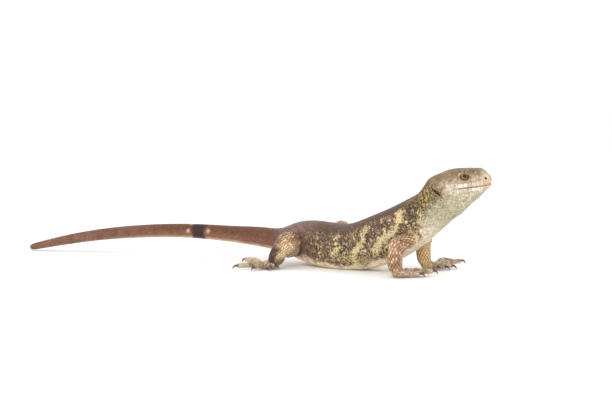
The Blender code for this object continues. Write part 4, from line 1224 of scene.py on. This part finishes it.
def skin_material(name, roughness, bump, grain, mottle):
    """Markings and flecks times two noises, satin gloss, and a bump of the given depth in metres."""
    material = bpy.data.materials.new(name)
    material.use_nodes = True
    nodes, links = material.node_tree.nodes, material.node_tree.links
    shader = nodes["Principled BSDF"]
    place = nodes.new("ShaderNodeTexCoord").outputs["Object"]
    painted = nodes.new("ShaderNodeAttribute")
    painted.attribute_name = "markings"
    noise = noise_of(nodes, links, place, grain, 4.0)
    specks = noise_of(nodes, links, place, grain / 2.2, 2.0)
    tone = mapped(nodes, links, noise, 0.3, 0.7, 0.78, 1.18)
    depth = mapped(nodes, links, specks, 0.36, 0.60, 1.0 - 1.6 * mottle, 1.0 + mottle)
    both = combined(nodes, links, "MULTIPLY", tone, depth)
    shares = nodes.new("ShaderNodeAttribute")
    shares.attribute_name = "flecks"
    split = nodes.new("ShaderNodeSeparateColor")
    links.new(shares.outputs["Color"], split.inputs["Color"])
    pale_mask = fleck_mask(nodes, links, place, split.outputs["Red"], 0.0)
    dark_mask = fleck_mask(nodes, links, place, split.outputs["Green"], 0.31)
    pale_colour = mixed(nodes, links, split.outputs["Blue"], CREAM_FLECK, YELLOW_FLECK)
    flecked = mixed(nodes, links, pale_mask, painted.outputs["Color"], pale_colour)
    flecked = mixed(nodes, links, dark_mask, flecked, DARK_FLECK)
    vary = nodes.new("ShaderNodeVectorMath")
    vary.operation = "SCALE"
    links.new(flecked, vary.inputs[0])
    links.new(both, vary.inputs["Scale"])
    links.new(vary.outputs["Vector"], shader.inputs["Base Color"])
    gloss = mapped(nodes, links, noise, 0.0, 1.0, roughness - 0.1, roughness + 0.1)
    links.new(gloss, shader.inputs["Roughness"])
    shader.inputs["Specular IOR Level"].default_value = 0.28
    relief = nodes.new("ShaderNodeBump")
    relief.inputs["Strength"].default_value = 0.5
    relief.inputs["Distance"].default_value = bump
    links.new(noise, relief.inputs["Height"])
    links.new(relief.outputs["Normal"], shader.inputs["Normal"])
    return material


skin_finish = skin_material("skin_finish", 0.50, 0.0002, 1500.0, 0.10)
scale_finish = skin_material("scale_finish", 0.42, 0.00006, 1400.0, 0.16)
skin.data.materials.clear()
skin.data.materials.append(skin_finish)
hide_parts(*flesh_nodes)
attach(skin, "root")
print("skin stands for", len(flesh_nodes), "nodes")

# %% [markdown]
# The scales of a skink overlap like roof tiles. They could be scattered at random, but real ones stand
# in slanting rows, each row shifted by half a scale. So we lay a net over the body, snap it onto the
# skin with a Shrinkwrap modifier, and put each scale at its place in the net. One small plate with a
# rounded free edge is bent along the net thousands of times with a few array sums.

# %% One scale
SCALE_STRAIGHT = 0.56
across = np.array([-1.0, -0.78, 0.0, 0.78, 1.0])
plate_u, plate_v = np.meshgrid(across, [0.55, 0.88, 1.0])
round_x = plate_u * np.sqrt(1 - plate_v**2 / 2)
round_y = SCALE_STRAIGHT + (1 - SCALE_STRAIGHT) * plate_v * np.sqrt(1 - plate_u**2 / 2)
PLATE_X = np.concatenate((across * 0.8, across, round_x.ravel()))
PLATE_Y = np.concatenate((np.zeros(5), np.full(5, SCALE_STRAIGHT), round_y.ravel()))
OUTLINE = np.array([0, 1, 2, 3, 4, 9, 14, 19, 24, 23, 22, 21, 20, 15, 10, 5])
TOP_COUNT = len(PLATE_X)
i, j = np.meshgrid(np.arange(4), np.arange(4), indexing="ij")
corner = (i * 5 + j).ravel()
TOP_FACES = np.stack((corner, corner + 1, corner + 6, corner + 5), 1)
n = np.arange(len(OUTLINE))
RIM_FACES = np.stack((OUTLINE, TOP_COUNT + n, TOP_COUNT + (n + 1) % len(OUTLINE), np.roll(OUTLINE, -1)), 1)
BOTTOM_FACE = (TOP_COUNT + n[::-1])[None]
# 1 on the rim of the plate and less inside, for the dark border of each scale
PLATE_EDGE = np.zeros(TOP_COUNT + len(OUTLINE))
PLATE_EDGE[OUTLINE] = 1.0
PLATE_EDGE[TOP_COUNT:] = 1.0
PLATE_EDGE[[11, 13, 16, 18]] = 0.35
PLATE_EDGE[17] = 0.25
PLATE_EDGE[:10] = (0.8, 0.5, 0.4, 0.5, 0.8, 0.7, 0.2, 0.0, 0.2, 0.7)


def plate_heights(thickness):
    """Top rises from just under the skin to its free edge, lower at both sides; the underside follows."""
    top = -0.12 + (thickness + 0.12) * PLATE_Y**0.9 - 0.22 * thickness * PLATE_X**2
    bottom = np.maximum(top[OUTLINE] - 0.55 * thickness, -0.25) - 0.02
    return np.concatenate((top, bottom))


def plate_place():
    """Place of every point across (-1 to 1) and along (0 to 1) one scale, underside included."""
    return (np.concatenate((PLATE_X, PLATE_X[OUTLINE]))[None],
            np.concatenate((PLATE_Y, PLATE_Y[OUTLINE]))[None])


print("one scale has", TOP_COUNT + len(OUTLINE), "points")


# %% [markdown]
# A net is a grid of the body's or a limb's own surface. Snapping it to the skin alone leaves its rows
# bunched in a crease and far apart beside it, so each column is smoothed along its length and snapped
# again, a few times. The skin's own normals, read by snapping to a small height above it, say which way
# is out. Where the net is still stretched a scale is split into shorter ones.

# %% Nets laid on the skin
NET_ROUNDS, SMOOTHINGS = 3, 6
NORMAL_LIFT = 0.5
OVERLAP = 2.05              # length of a scale in row spacings
LEAST_STRETCH, MOST_PARTS = 0.3, 6
PATCH_SIZE = 0.003          # side of each scale's patch in the unwrap


def snapped(name, grid, above=0.0):
    """The grid with every point moved to the nearest point of the skin, or a height above it."""
    net = new_object(name, grid.reshape(-1, 3), [tube_faces(*grid.shape[:2])[0]])
    wrap = net.modifiers.new("onto_skin", "SHRINKWRAP")
    wrap.target = skin
    wrap.wrap_method = "NEAREST_SURFACEPOINT"
    if above:
        wrap.wrap_mode = "ABOVE_SURFACE"
        wrap.offset = above * MM
    mesh = final_mesh(net)
    points = mesh_points(mesh).reshape(grid.shape)
    bpy.data.objects.remove(net)
    bpy.data.meshes.remove(mesh)
    return points


def laid_net(name, surface, distances, columns):
    """Grid of a surface snapped to the skin: points, normals, how far each moved, and stretch."""
    angles = np.linspace(0.0, 2 * math.pi, columns, endpoint=False)
    before = surface(distances[:, None], angles[None])
    after = snapped(name, before)
    moved = np.linalg.norm(after - before, axis=-1)
    for _ in range(NET_ROUNDS):
        for _ in range(SMOOTHINGS):
            after[1:-1] = 0.5 * after[1:-1] + 0.25 * (after[:-2] + after[2:])
            after[0] = 2 * after[1] - after[2]
        after = snapped(name, after)
    normals = unit(snapped(name, after, NORMAL_LIFT) - after)
    for _ in range(2):
        normals = unit(normals + np.roll(normals, 1, 1) + np.roll(normals, -1, 1))
    stretch = (np.linalg.norm(np.gradient(after, axis=0), axis=-1)
               / np.maximum(np.linalg.norm(np.gradient(before, axis=0), axis=-1), 1e-6))
    forwards = (np.gradient(after, axis=0) * np.gradient(before, axis=0)).sum(-1)
    stretch = np.where(forwards > 0, stretch, 0.0)
    return {"points": after, "normals": normals, "moved": moved, "stretch": stretch,
            "distances": distances}


def read_net(field, row, column):
    """Blend the four nearest values of a net at fractional rows and columns."""
    rows, columns = field.shape[:2]
    row = np.clip(row, 0.0, rows - 1.001)
    i, j = np.floor(row).astype(int), np.floor(column).astype(int)
    a, b = row - i, column - j
    if field.ndim > 2:
        a, b = a[..., None], b[..., None]
    j, k = j % columns, (j + 1) % columns
    near = field[i, j] * (1 - b) + field[i, k] * b
    far = field[i + 1, j] * (1 - b) + field[i + 1, k] * b
    return near * (1 - a) + far * a


def scale_roots(start, stop, spacing, count_at):
    """Distance, turn (0 to 1) and width in turns of every scale, rows shifted by half a scale."""
    rows = []
    distances = np.arange(start, stop, spacing)
    for number, s in enumerate(distances):
        count = count_at(s)
        turn = (np.arange(count) + 0.5 * (number % 2)) / count
        rows.append(np.stack((np.full(count, s), turn, np.full(count, 1.0 / count)), 1))
    return np.concatenate(rows)


def free_share(net, row, column, length, half):
    """Share of each scale's length that lies before the slit of an ear, from 0 to 1."""
    share = np.ones(len(row))
    for step in np.linspace(1.0, 0.1, 10):
        for across_it in (-0.6, 0.0, 0.6):
            spot = read_net(net["points"], row + step * length, column + across_it * half)
            for side in SIDES:
                share = np.where(ear_reach(spot, side)[0] < 1.15, np.minimum(share, step - 0.08), share)
    return share


def place_scales(net, roots, spacing, thickness, rng, keep, near_ear=False, furthest=4.5):
    """Points and root places of all scales of one net, bent along it and split where it is stretched."""
    start = net["distances"][0]
    pace = net["distances"][1] - start
    columns = net["points"].shape[1]
    row = (roots[:, 0] - start) / pace
    column = roots[:, 1] * columns
    stretch = read_net(net["stretch"], row, column)
    fit = (read_net(net["moved"], row, column) < furthest) & (stretch > LEAST_STRETCH)
    fit &= keep(read_net(net["points"], row + 0.5 * spacing / pace, column), roots)
    parts = np.clip(np.rint(stretch), 1, MOST_PARTS).astype(int)[fit]
    step = np.arange(parts.sum()) - np.repeat(np.cumsum(parts) - parts, parts)
    roots, row, column = (np.repeat(values[fit], parts, axis=0) for values in (roots, row, column))
    parts = np.repeat(parts, parts)
    row = row + step / parts * spacing / pace
    column = column + 0.5 * (step % 2) * roots[:, 2] * columns
    n = len(roots)
    length = OVERLAP * spacing / pace / parts * rng.uniform(0.96, 1.05, n)
    half = 0.515 * roots[:, 2] * columns * rng.uniform(0.97, 1.03, n)
    lift = thickness * rng.uniform(0.88, 1.12, n)
    skew = rng.normal(0.0, 0.03, n)
    row = row + rng.normal(0.0, 0.02, n) * spacing / pace
    if near_ear:
        share = free_share(net, row, column, length, half)
        length = length * share
        whole = share > 0.25
        roots, row, column = roots[whole], row[whole], column[whole]
        length, half, lift, skew = length[whole], half[whole], lift[whole], skew[whole]
    x, y = plate_place()
    rows = row[:, None] + y * length[:, None]
    sides = column[:, None] + (x + skew[:, None] * y) * half[:, None]
    heights = plate_heights(1.0)[None] * lift[:, None]
    points = read_net(net["points"], rows, sides) + read_net(net["normals"], rows, sides) * heights[..., None]
    points[..., 2] = np.maximum(points[..., 2], FLOOR_CLEARANCE)
    uv = np.stack(((roots[:, 0] - start) / (net["distances"][-1] - start + 1.0), roots[:, 1] % 1.0), 1)
    patch = PATCH_SIZE / 2 * np.stack(np.broadcast_arrays(2 * y - 1, x), -1)
    return {"points": points, "uv": uv, "patch": patch,
            "out": read_net(net["normals"], row, column)}


def make_coat(name, batches, border, rng):
    """One piece from several batches of scales, painted, with an unwrap named OFBake."""
    points = np.concatenate([b["points"] for b in batches])
    count, size = points.shape[:2]
    offset = (np.arange(count) * size)[:, None, None]
    faces = [(offset + part[None]).reshape(-1, part.shape[1])
             for part in (TOP_FACES, RIM_FACES, BOTTOM_FACE)]
    coat = new_object(name, points.reshape(-1, 3), faces)
    out = np.concatenate([b["out"] for b in batches])
    places = places_of(points.reshape(-1, 3))
    tones = []
    for _ in range(2):
        chance = np.repeat(rng.random((count, 3)), size, axis=0)
        colours, on_leg = markings(places, chance, np.repeat(out, size, axis=0))
        tones.append(colours.reshape(count, size, 3))
    store_colours(coat.data, fleck_shares(*places[:3], on_leg), "flecks")
    turn, shift = rng.uniform(0, 2 * math.pi, (count, 1)), rng.normal(0.0, 0.35, (count, 1))
    x, y = plate_place()
    mix = step_up(x * np.cos(turn) + 2.4 * (y - 0.72) * np.sin(turn) + shift, -0.25, 0.25)[..., None]
    painted = (tones[0] * (1 - mix) + tones[1] * mix) * rng.uniform(0.88, 1.12, (count, 1, 1))
    on_leg = on_leg.reshape(count, size)
    pale = step_up(painted.mean(axis=2), 0.30, 0.55) * (1 - on_leg)
    edge = PLATE_EDGE[None]**(1 - 0.75 * on_leg)
    darkness = (border[0] + (border[1] - border[0]) * on_leg) * (1 - 0.55 * pale) * edge
    painted = painted * (1 - darkness[..., None] * np.array([0.82, 0.93, 1.0]))
    store_colours(coat.data, painted.reshape(-1, 3))
    uv = np.concatenate([(b["uv"][:, None] * (0.98 / b.get("islands", 1), 0.98)
                          + (b.get("island", 0) / b.get("islands", 1) + 0.01, 0.01) + b["patch"])
                         for b in batches]).reshape(-1, 2)
    layer = coat.data.uv_layers.new(name="OFBake")
    loops = np.empty(len(coat.data.loops), np.int32)
    coat.data.loops.foreach_get("vertex_index", loops)
    layer.data.foreach_set("uv", uv[loops].astype(np.float32).ravel())
    coat.data.materials.append(scale_finish)
    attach(coat, "root")
    triangles = sum(len(f) * (f.shape[1] - 2) for f in faces)
    print(name, count, "scales,", triangles, "triangles")


# %% [markdown]
# The trunk has forty rows of scales round it, and the tail fewer and fewer as it thins, so that they
# keep their size. Scales that would grow inside a leg, on a head shield or in the ear are left out.

# %% Scales of neck, trunk and tail
ROW_SPACING = 3.1
TRUNK_ROWS = 40
TAIL_START = 284.0
BODY_BORDER, LEG_BORDER = (0.42, 0.8), (0.42, 0.93)    # darkness of the rims on body and legs
BODY_MARGIN, BODY_FURTHEST = 3.5, 7.0
rng = np.random.default_rng(7)


def body_net_surface(s, angle):
    """The body at the depth of the skin, by distance and angle."""
    return body_point(s, angle, skin_depth(s))


def rows_round(s):
    """Even number of scales round the body: forty on the trunk, then by girth on the tail."""
    if s < TAIL_START:
        return TRUNK_ROWS
    width, above, below = section_extent(np.array([s]))
    girth = math.pi * (width[0] + (above[0] + below[0]) / 2)
    steps = np.array([34, 28, 24, 20, 18, 16, 14, 12, 10, 8])
    return int(steps[np.abs(steps - girth / 3.6).argmin()])


def body_scale_fits(middles, roots):
    """Keep a scale that starts behind the shields, outside the legs and clear of the ears."""
    angle = roots[:, 1] * 2 * math.pi
    fits = roots[:, 0] > coat_start(angle)
    s, _, over_body, _ = body_place(middles)
    fits &= over_body < limb_distances(middles).min(axis=1) + BODY_MARGIN
    for side in SIDES:
        fits &= ear_reach(middles, side)[0] > 1.2
    return fits


def body_coat(name, start, stop, thickness):
    """Coat piece over one length of the body."""
    distances = np.arange(start - 6.0, min(stop + 10.0, BODY_LENGTH - 0.6), 1.0)
    net = laid_net(name + "_net", body_net_surface, distances, 160)
    roots = scale_roots(start, stop, ROW_SPACING, rows_round)
    batch = place_scales(net, roots, ROW_SPACING, thickness, rng, body_scale_fits, start < 50,
                         BODY_FURTHEST)
    make_coat(name, [batch], BODY_BORDER, rng)


HEAD_COAT_START = 22.0
NECK_LENGTH_ROWS, TRUNK_LENGTH_ROWS = 34, 46
first_cut = HEAD_COAT_START + ROW_SPACING * NECK_LENGTH_ROWS
second_cut = first_cut + ROW_SPACING * TRUNK_LENGTH_ROWS
body_coat("scales_neck", HEAD_COAT_START, first_cut - 0.01, 0.42)
body_coat("scales_trunk", first_cut, second_cut - 0.01, 0.48)
body_coat("scales_tail", second_cut, BODY_LENGTH - 4.0, 0.45)

# %% [markdown]
# Scales of the legs stand in rings round the limb, and those of the toes are small. Each limb form
# gets its own net, and a scale stays only where its own form is the outer one.


# %% Scales of the legs
# Spacing of the rings, width, thickness, first ring, depth of the net, columns of the net, and how far a
# scale may lie past its own form and be moved to the skin
WHOLE_SCALES = (3.0, 4.4, 0.46, 4.0, -COAT_DEPTH, 64, 1.6, 9.0)
PALM_SCALES = (2.1, 3.0, 0.34, 0.4, -PALM_COAT_DEPTH, 64, 2.2, 4.5)
TOE_SCALES = (2.0, 3.1, 0.3, 3.4, -TOE_COAT_DEPTH, 36, 1.0, 3.0)
BODY_RIM = 2.6    # how far into the body's flesh a scale of a leg may start
LEG_ISLANDS = 14  # nets of two legs, side by side in the unwrap


def limb_batches(kind, side, rng):
    """Scales of one leg: upper and lower leg, back of the paw, and toes."""
    joints = (ARM_JOINTS if kind == "hand" else LEG_JOINTS)[side]
    radii = ARM_RADII if kind == "hand" else LEG_RADII
    whole = Limb(np.array(joints, float), radii, ease=5.0)
    names = list(limbs)
    batches = []

    def batch(form, own, sizes):
        spacing, width, thickness, start, growth, columns, margin, furthest = sizes
        distances = np.arange(start, form.length - 0.3, spacing / 3)
        net = laid_net("leg_net", lambda s, a: form.point(s, a, growth), distances, columns)
        count = max(6, int(round(2 * math.pi * float(form.radius(form.length / 2))
                                 * (1 + form.flatness) / 2 / width)))
        roots = scale_roots(start + 0.1, form.length - spacing * 0.9, spacing, lambda s: count)
        own_columns = [names.index(name) for name in own]

        def fits(middles, _):
            gaps = limb_distances(middles)
            own_gap = gaps[:, own_columns].min(axis=1)
            others = np.delete(gaps, own_columns, axis=1).min(axis=1)
            return (own_gap < others + margin) & (own_gap < body_place(middles)[2] + BODY_RIM)

        batches.append(place_scales(net, roots, spacing, thickness, rng, fits, furthest=furthest))

    prefix = f"{kind}_{side}"
    batch(whole, [prefix + "_upper", prefix + "_lower"], WHOLE_SCALES)
    palm = limbs[prefix + "_palm"]
    direction = palm.axes(0.0)[0]
    heel = palm.centre(0.0) - direction * HEEL_REACH
    path = np.concatenate(([heel], palm.centre(palm.knots)))
    sizes = np.concatenate(([palm.radius(0.0) * 0.3], palm.radius(palm.knots)))
    batch(Limb(path, sizes, palm.side, palm.flatness), [prefix + "_palm"], PALM_SCALES)
    for number in range(1, 6):
        name = f"{prefix}_toe_{number}"
        batch(limbs[name], [name], TOE_SCALES)
    return batches


for kind, name in (("hand", "scales_forelegs"), ("foot", "scales_hind_legs")):
    batches = []
    for side in SIDES:
        for b in limb_batches(kind, side, rng):
            b["islands"], b["island"] = LEG_ISLANDS, len(batches)
            batches.append(b)
    make_coat(name, batches, LEG_BORDER, rng)

# %% [markdown]
# The eye is a ball with a slightly swollen clear front. Its colours depend only on the angle from the
# middle of the pupil: black pupil, a bright yellow rim, an olive iris with fine rays, and a dark edge
# where the lids begin. A wet clear coat gives the highlight.

# %% Eyes
PUPIL, IRIS = 0.40, 0.80
PUPIL_BLACK, EYE_DARK = (0.004, 0.003, 0.003), (0.03, 0.018, 0.014)
IRIS_YELLOW, IRIS_OLIVE = (0.46, 0.31, 0.02), (0.12, 0.08, 0.02)


def make_eye(side):
    """Rings of points by polar angle from the optical axis, with a swollen cornea."""
    along, down, out = eye_axes(side)
    polar = np.linspace(0.02, math.pi - 0.05, 72)[:, None]
    turn = np.linspace(0, 2 * math.pi, 64, endpoint=False)[None]
    radius = (EYE_RADIUS - 0.05) + 0.25 * np.exp(-(polar / 0.55)**2)
    level = np.sin(polar)[..., None] * (np.cos(turn)[..., None] * along + np.sin(turn)[..., None] * down)
    rings = eye_centre(side) + radius[..., None] * (level + np.cos(polar)[..., None] * out)
    front = eye_centre(side) + out * radius[0]
    back = eye_centre(side) - out * radius[-1]
    eye = closed_tube(f"eyeball_{side}", rings, front, back, inside_out=side == LEFT)
    points = mesh_points(eye.data) - eye_centre(side)
    angle = np.arccos(np.clip(unit(points) @ out, -1, 1))
    spin = np.arctan2(points @ down, points @ along)
    rays = 0.5 + 0.25 * np.sin(23 * spin) + 0.25 * np.sin(41 * spin + 1.3)
    colours = np.tile(IRIS_OLIVE, (len(points), 1))
    behind = 0.55 - 0.45 * np.cos(spin)
    bright = (1 - step_up(angle, PUPIL + 0.05, IRIS - 0.06)) * (0.6 + 0.4 * rays) * behind
    colours = paint(colours, IRIS_YELLOW, bright)
    colours = colours * (0.8 + 0.35 * rays[:, None])
    colours = paint(colours, EYE_DARK, step_up(angle, IRIS - 0.12, IRIS + 0.04))
    colours = paint(colours, PUPIL_BLACK, 1 - step_up(angle, PUPIL - 0.02, PUPIL + 0.02))
    store_colours(eye.data, colours)
    eye.data.materials.append(eye_finish)
    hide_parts(f"eye_{side}")
    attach(eye, "root")


eye_finish = skin_material("eye_finish", 0.14, 0.00001, 900.0, 0.05)
eye_shader = eye_finish.node_tree.nodes["Principled BSDF"]
eye_shader.inputs["Specular IOR Level"].default_value = 0.0
eye_shader.inputs["Coat Weight"].default_value = 0.55
eye_shader.inputs["Coat Roughness"].default_value = 0.02
for side in SIDES:
    make_eye(side)
print("eyes at", [np.round(eye_centre(side)).tolist() for side in SIDES])

# %% [markdown]
# Each toe ends in a hooked claw, made for climbing. It is a cone along a bent path: it grows out of
# the toe, arches, and comes down to a point at the floor. Horn is dark at the root and lets more light
# through at the tip, so its colour fades from blackish brown to a warm brown.

# %% Claws
CLAW_RADII = (1.4, 1.15, 0.75, 0.22)
CLAW_REACH, CLAW_DROP, CLAW_CLEARANCE, GAP = 5.0, 4.8, 0.15, 0.3
HORN_DARK, HORN_PALE = (0.075, 0.042, 0.036), (0.52, 0.36, 0.30)


def claw_rings(toe_form, level):
    """Sections of one claw, narrower than high, along its arch."""
    direction = toe_form.axes(toe_form.length)[0]
    root = toe_form.centre(toe_form.length) + direction * GAP
    arch = root + level * CLAW_REACH * 0.45
    bend = root + level * CLAW_REACH * 0.85
    bend[2] = max(root[2] - CLAW_DROP * 0.42, 1.5)
    point = root + level * CLAW_REACH
    point[2] = max(root[2] - CLAW_DROP, CLAW_RADII[-1] + CLAW_CLEARANCE)
    claw = Limb((root - direction * 1.3, arch, bend, point), CLAW_RADII, np.cross(level, UP), 1.0)
    s = claw.length * np.concatenate((np.linspace(0, 0.94, 14), (0.975, 0.995)))
    turn = np.linspace(0, 2 * math.pi, 14, endpoint=False)
    rings = claw.point(s[:, None], turn[None], -0.05, closing=1.2)
    return rings, claw.centre(claw.length)


def make_claws():
    """All twenty claws as one piece."""
    points, faces, along = [], [], []
    start = 0
    for name, form in limbs.items():
        if "_toe_" not in name:
            continue
        kind, side, _, number = name.split("_")
        heading = (HANDS if kind == "hand" else FEET)[side][1][int(number) - 1][0]
        level = heading_vector(heading)
        rings, tip = claw_rings(form, level)
        count = rings.shape[0] * rings.shape[1]
        points += [rings.reshape(-1, 3), [rings[0].mean(axis=0)], [tip]]
        faces += [part + start for part in tube_faces(*rings.shape[:2], inside_out=True)]
        part = np.repeat(np.linspace(0, 1, rings.shape[0]), rings.shape[1])
        along.append(np.concatenate((part, [0.0, 1.0])))
        start += count + 2
    claws = new_object("claws", np.concatenate(points), faces)
    along = np.concatenate(along)
    streak = cloud(mesh_points(claws.data), 0.8, 53)
    colours = paint(np.tile(HORN_DARK, (len(along), 1)), HORN_PALE, step_up(along, 0.45, 1.0))
    store_colours(claws.data, colours * (0.8 + 0.4 * streak[:, None]))
    claws.data.materials.append(claw_finish)
    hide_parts(*claw_nodes)
    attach(claws, "root")
    return claws


claw_finish = skin_material("claw_finish", 0.32, 0.00004, 1600.0, 0.1)
claws = make_claws()
print("claws:", len(claws.data.polygons), "faces")

# %% [markdown]
# The animal stands in plain studio light on a pale floor that runs out of sight. The camera looks from
# its right front, almost level, with a long lens, so that the pose matches the reference view.

# %% Floor, light and camera
FLOOR_SIZE = 12.0
AZIMUTH, PITCH = math.radians(40.0), math.radians(4.5)
DISTANCE, FOCAL, SENSOR = 1.977, 100.0, 36.0
IMAGE_WIDTH, IMAGE_HEIGHT = 612, 408
ORIGIN_PIXEL = (350.0, 268.5)


def plain_material(name, colour, roughness):
    """A quiet surface with a trace of noise in its colour."""
    material = bpy.data.materials.new(name)
    material.use_nodes = True
    nodes, links = material.node_tree.nodes, material.node_tree.links
    shader = nodes["Principled BSDF"]
    place = nodes.new("ShaderNodeTexCoord").outputs["Object"]
    noise = noise_of(nodes, links, place, 3.0, 2.0)
    tone = mapped(nodes, links, noise, 0.0, 1.0, colour - 0.01, colour + 0.01)
    links.new(tone, shader.inputs["Base Color"])
    shader.inputs["Roughness"].default_value = roughness
    return material


def make_floor():
    """One large square at the height of the soles."""
    half = FLOOR_SIZE / 2 / MM
    corners = np.array([(-half, -half, 0), (half, -half, 0), (half, half, 0), (-half, half, 0)], float)
    floor = new_object("floor", corners, [np.array([[0, 1, 2, 3]])])
    floor.data.materials.append(plain_material("floor_paper", 0.92, 0.9))


def area_light(name, place, target, size, power):
    """A round soft light aimed at a point."""
    light = bpy.data.lights.new(name, "AREA")
    light.shape = "DISK"
    light.size = size
    light.energy = power
    lamp = bpy.data.objects.new(name, light)
    bpy.context.scene.collection.objects.link(lamp)
    lamp.location = place
    aim = np.array(target) - np.array(place)
    lamp.rotation_euler = (math.acos(-aim[2] / np.linalg.norm(aim)), 0.0,
                           math.atan2(aim[1], aim[0]) - math.pi / 2)


def make_camera():
    """Camera whose axis keeps the wanted direction, shifted so the origin falls on its pixel."""
    back = np.array([math.sin(AZIMUTH) * math.cos(PITCH), -math.cos(AZIMUTH) * math.cos(PITCH),
                     math.sin(PITCH)])
    right = np.array([math.cos(AZIMUTH), math.sin(AZIMUTH), 0.0])
    up = np.cross(back, right)
    pixels = IMAGE_WIDTH * FOCAL / SENSOR
    x = (ORIGIN_PIXEL[0] - IMAGE_WIDTH / 2) / pixels * DISTANCE
    y = -(ORIGIN_PIXEL[1] - IMAGE_HEIGHT / 2) / pixels * DISTANCE
    data = bpy.data.cameras.new("camera")
    data.lens = FOCAL
    data.sensor_width = SENSOR
    camera = bpy.data.objects.new("camera", data)
    bpy.context.scene.collection.objects.link(camera)
    camera.location = back * DISTANCE - right * x - up * y
    camera.rotation_euler = (math.pi / 2 - PITCH, 0.0, AZIMUTH)
    bpy.context.scene.camera = camera
    return camera


make_floor()
area_light("key", (0.9, -1.5, 1.5), (0.0, 0.0, 0.05), 0.85, 11.0)
area_light("fill", (-1.3, -1.6, 0.75), (0.0, 0.0, 0.05), 1.4, 5.0)
area_light("low", (1.5, -1.5, 0.32), (0.0, 0.0, 0.04), 0.6, 7.5)
area_light("back", (-0.2, 1.6, 1.5), (0.0, 0.0, 0.05), 1.4, 5.0)
world = bpy.data.worlds.new("studio")
world.use_nodes = True
world.node_tree.nodes["Background"].inputs["Color"].default_value = (1.0, 1.0, 1.0, 1.0)
world.node_tree.nodes["Background"].inputs["Strength"].default_value = 1.1
bpy.context.scene.world = world
bpy.context.scene.view_settings.view_transform = "Standard"
camera = make_camera()
print("camera at", [round(v, 3) for v in camera.location])
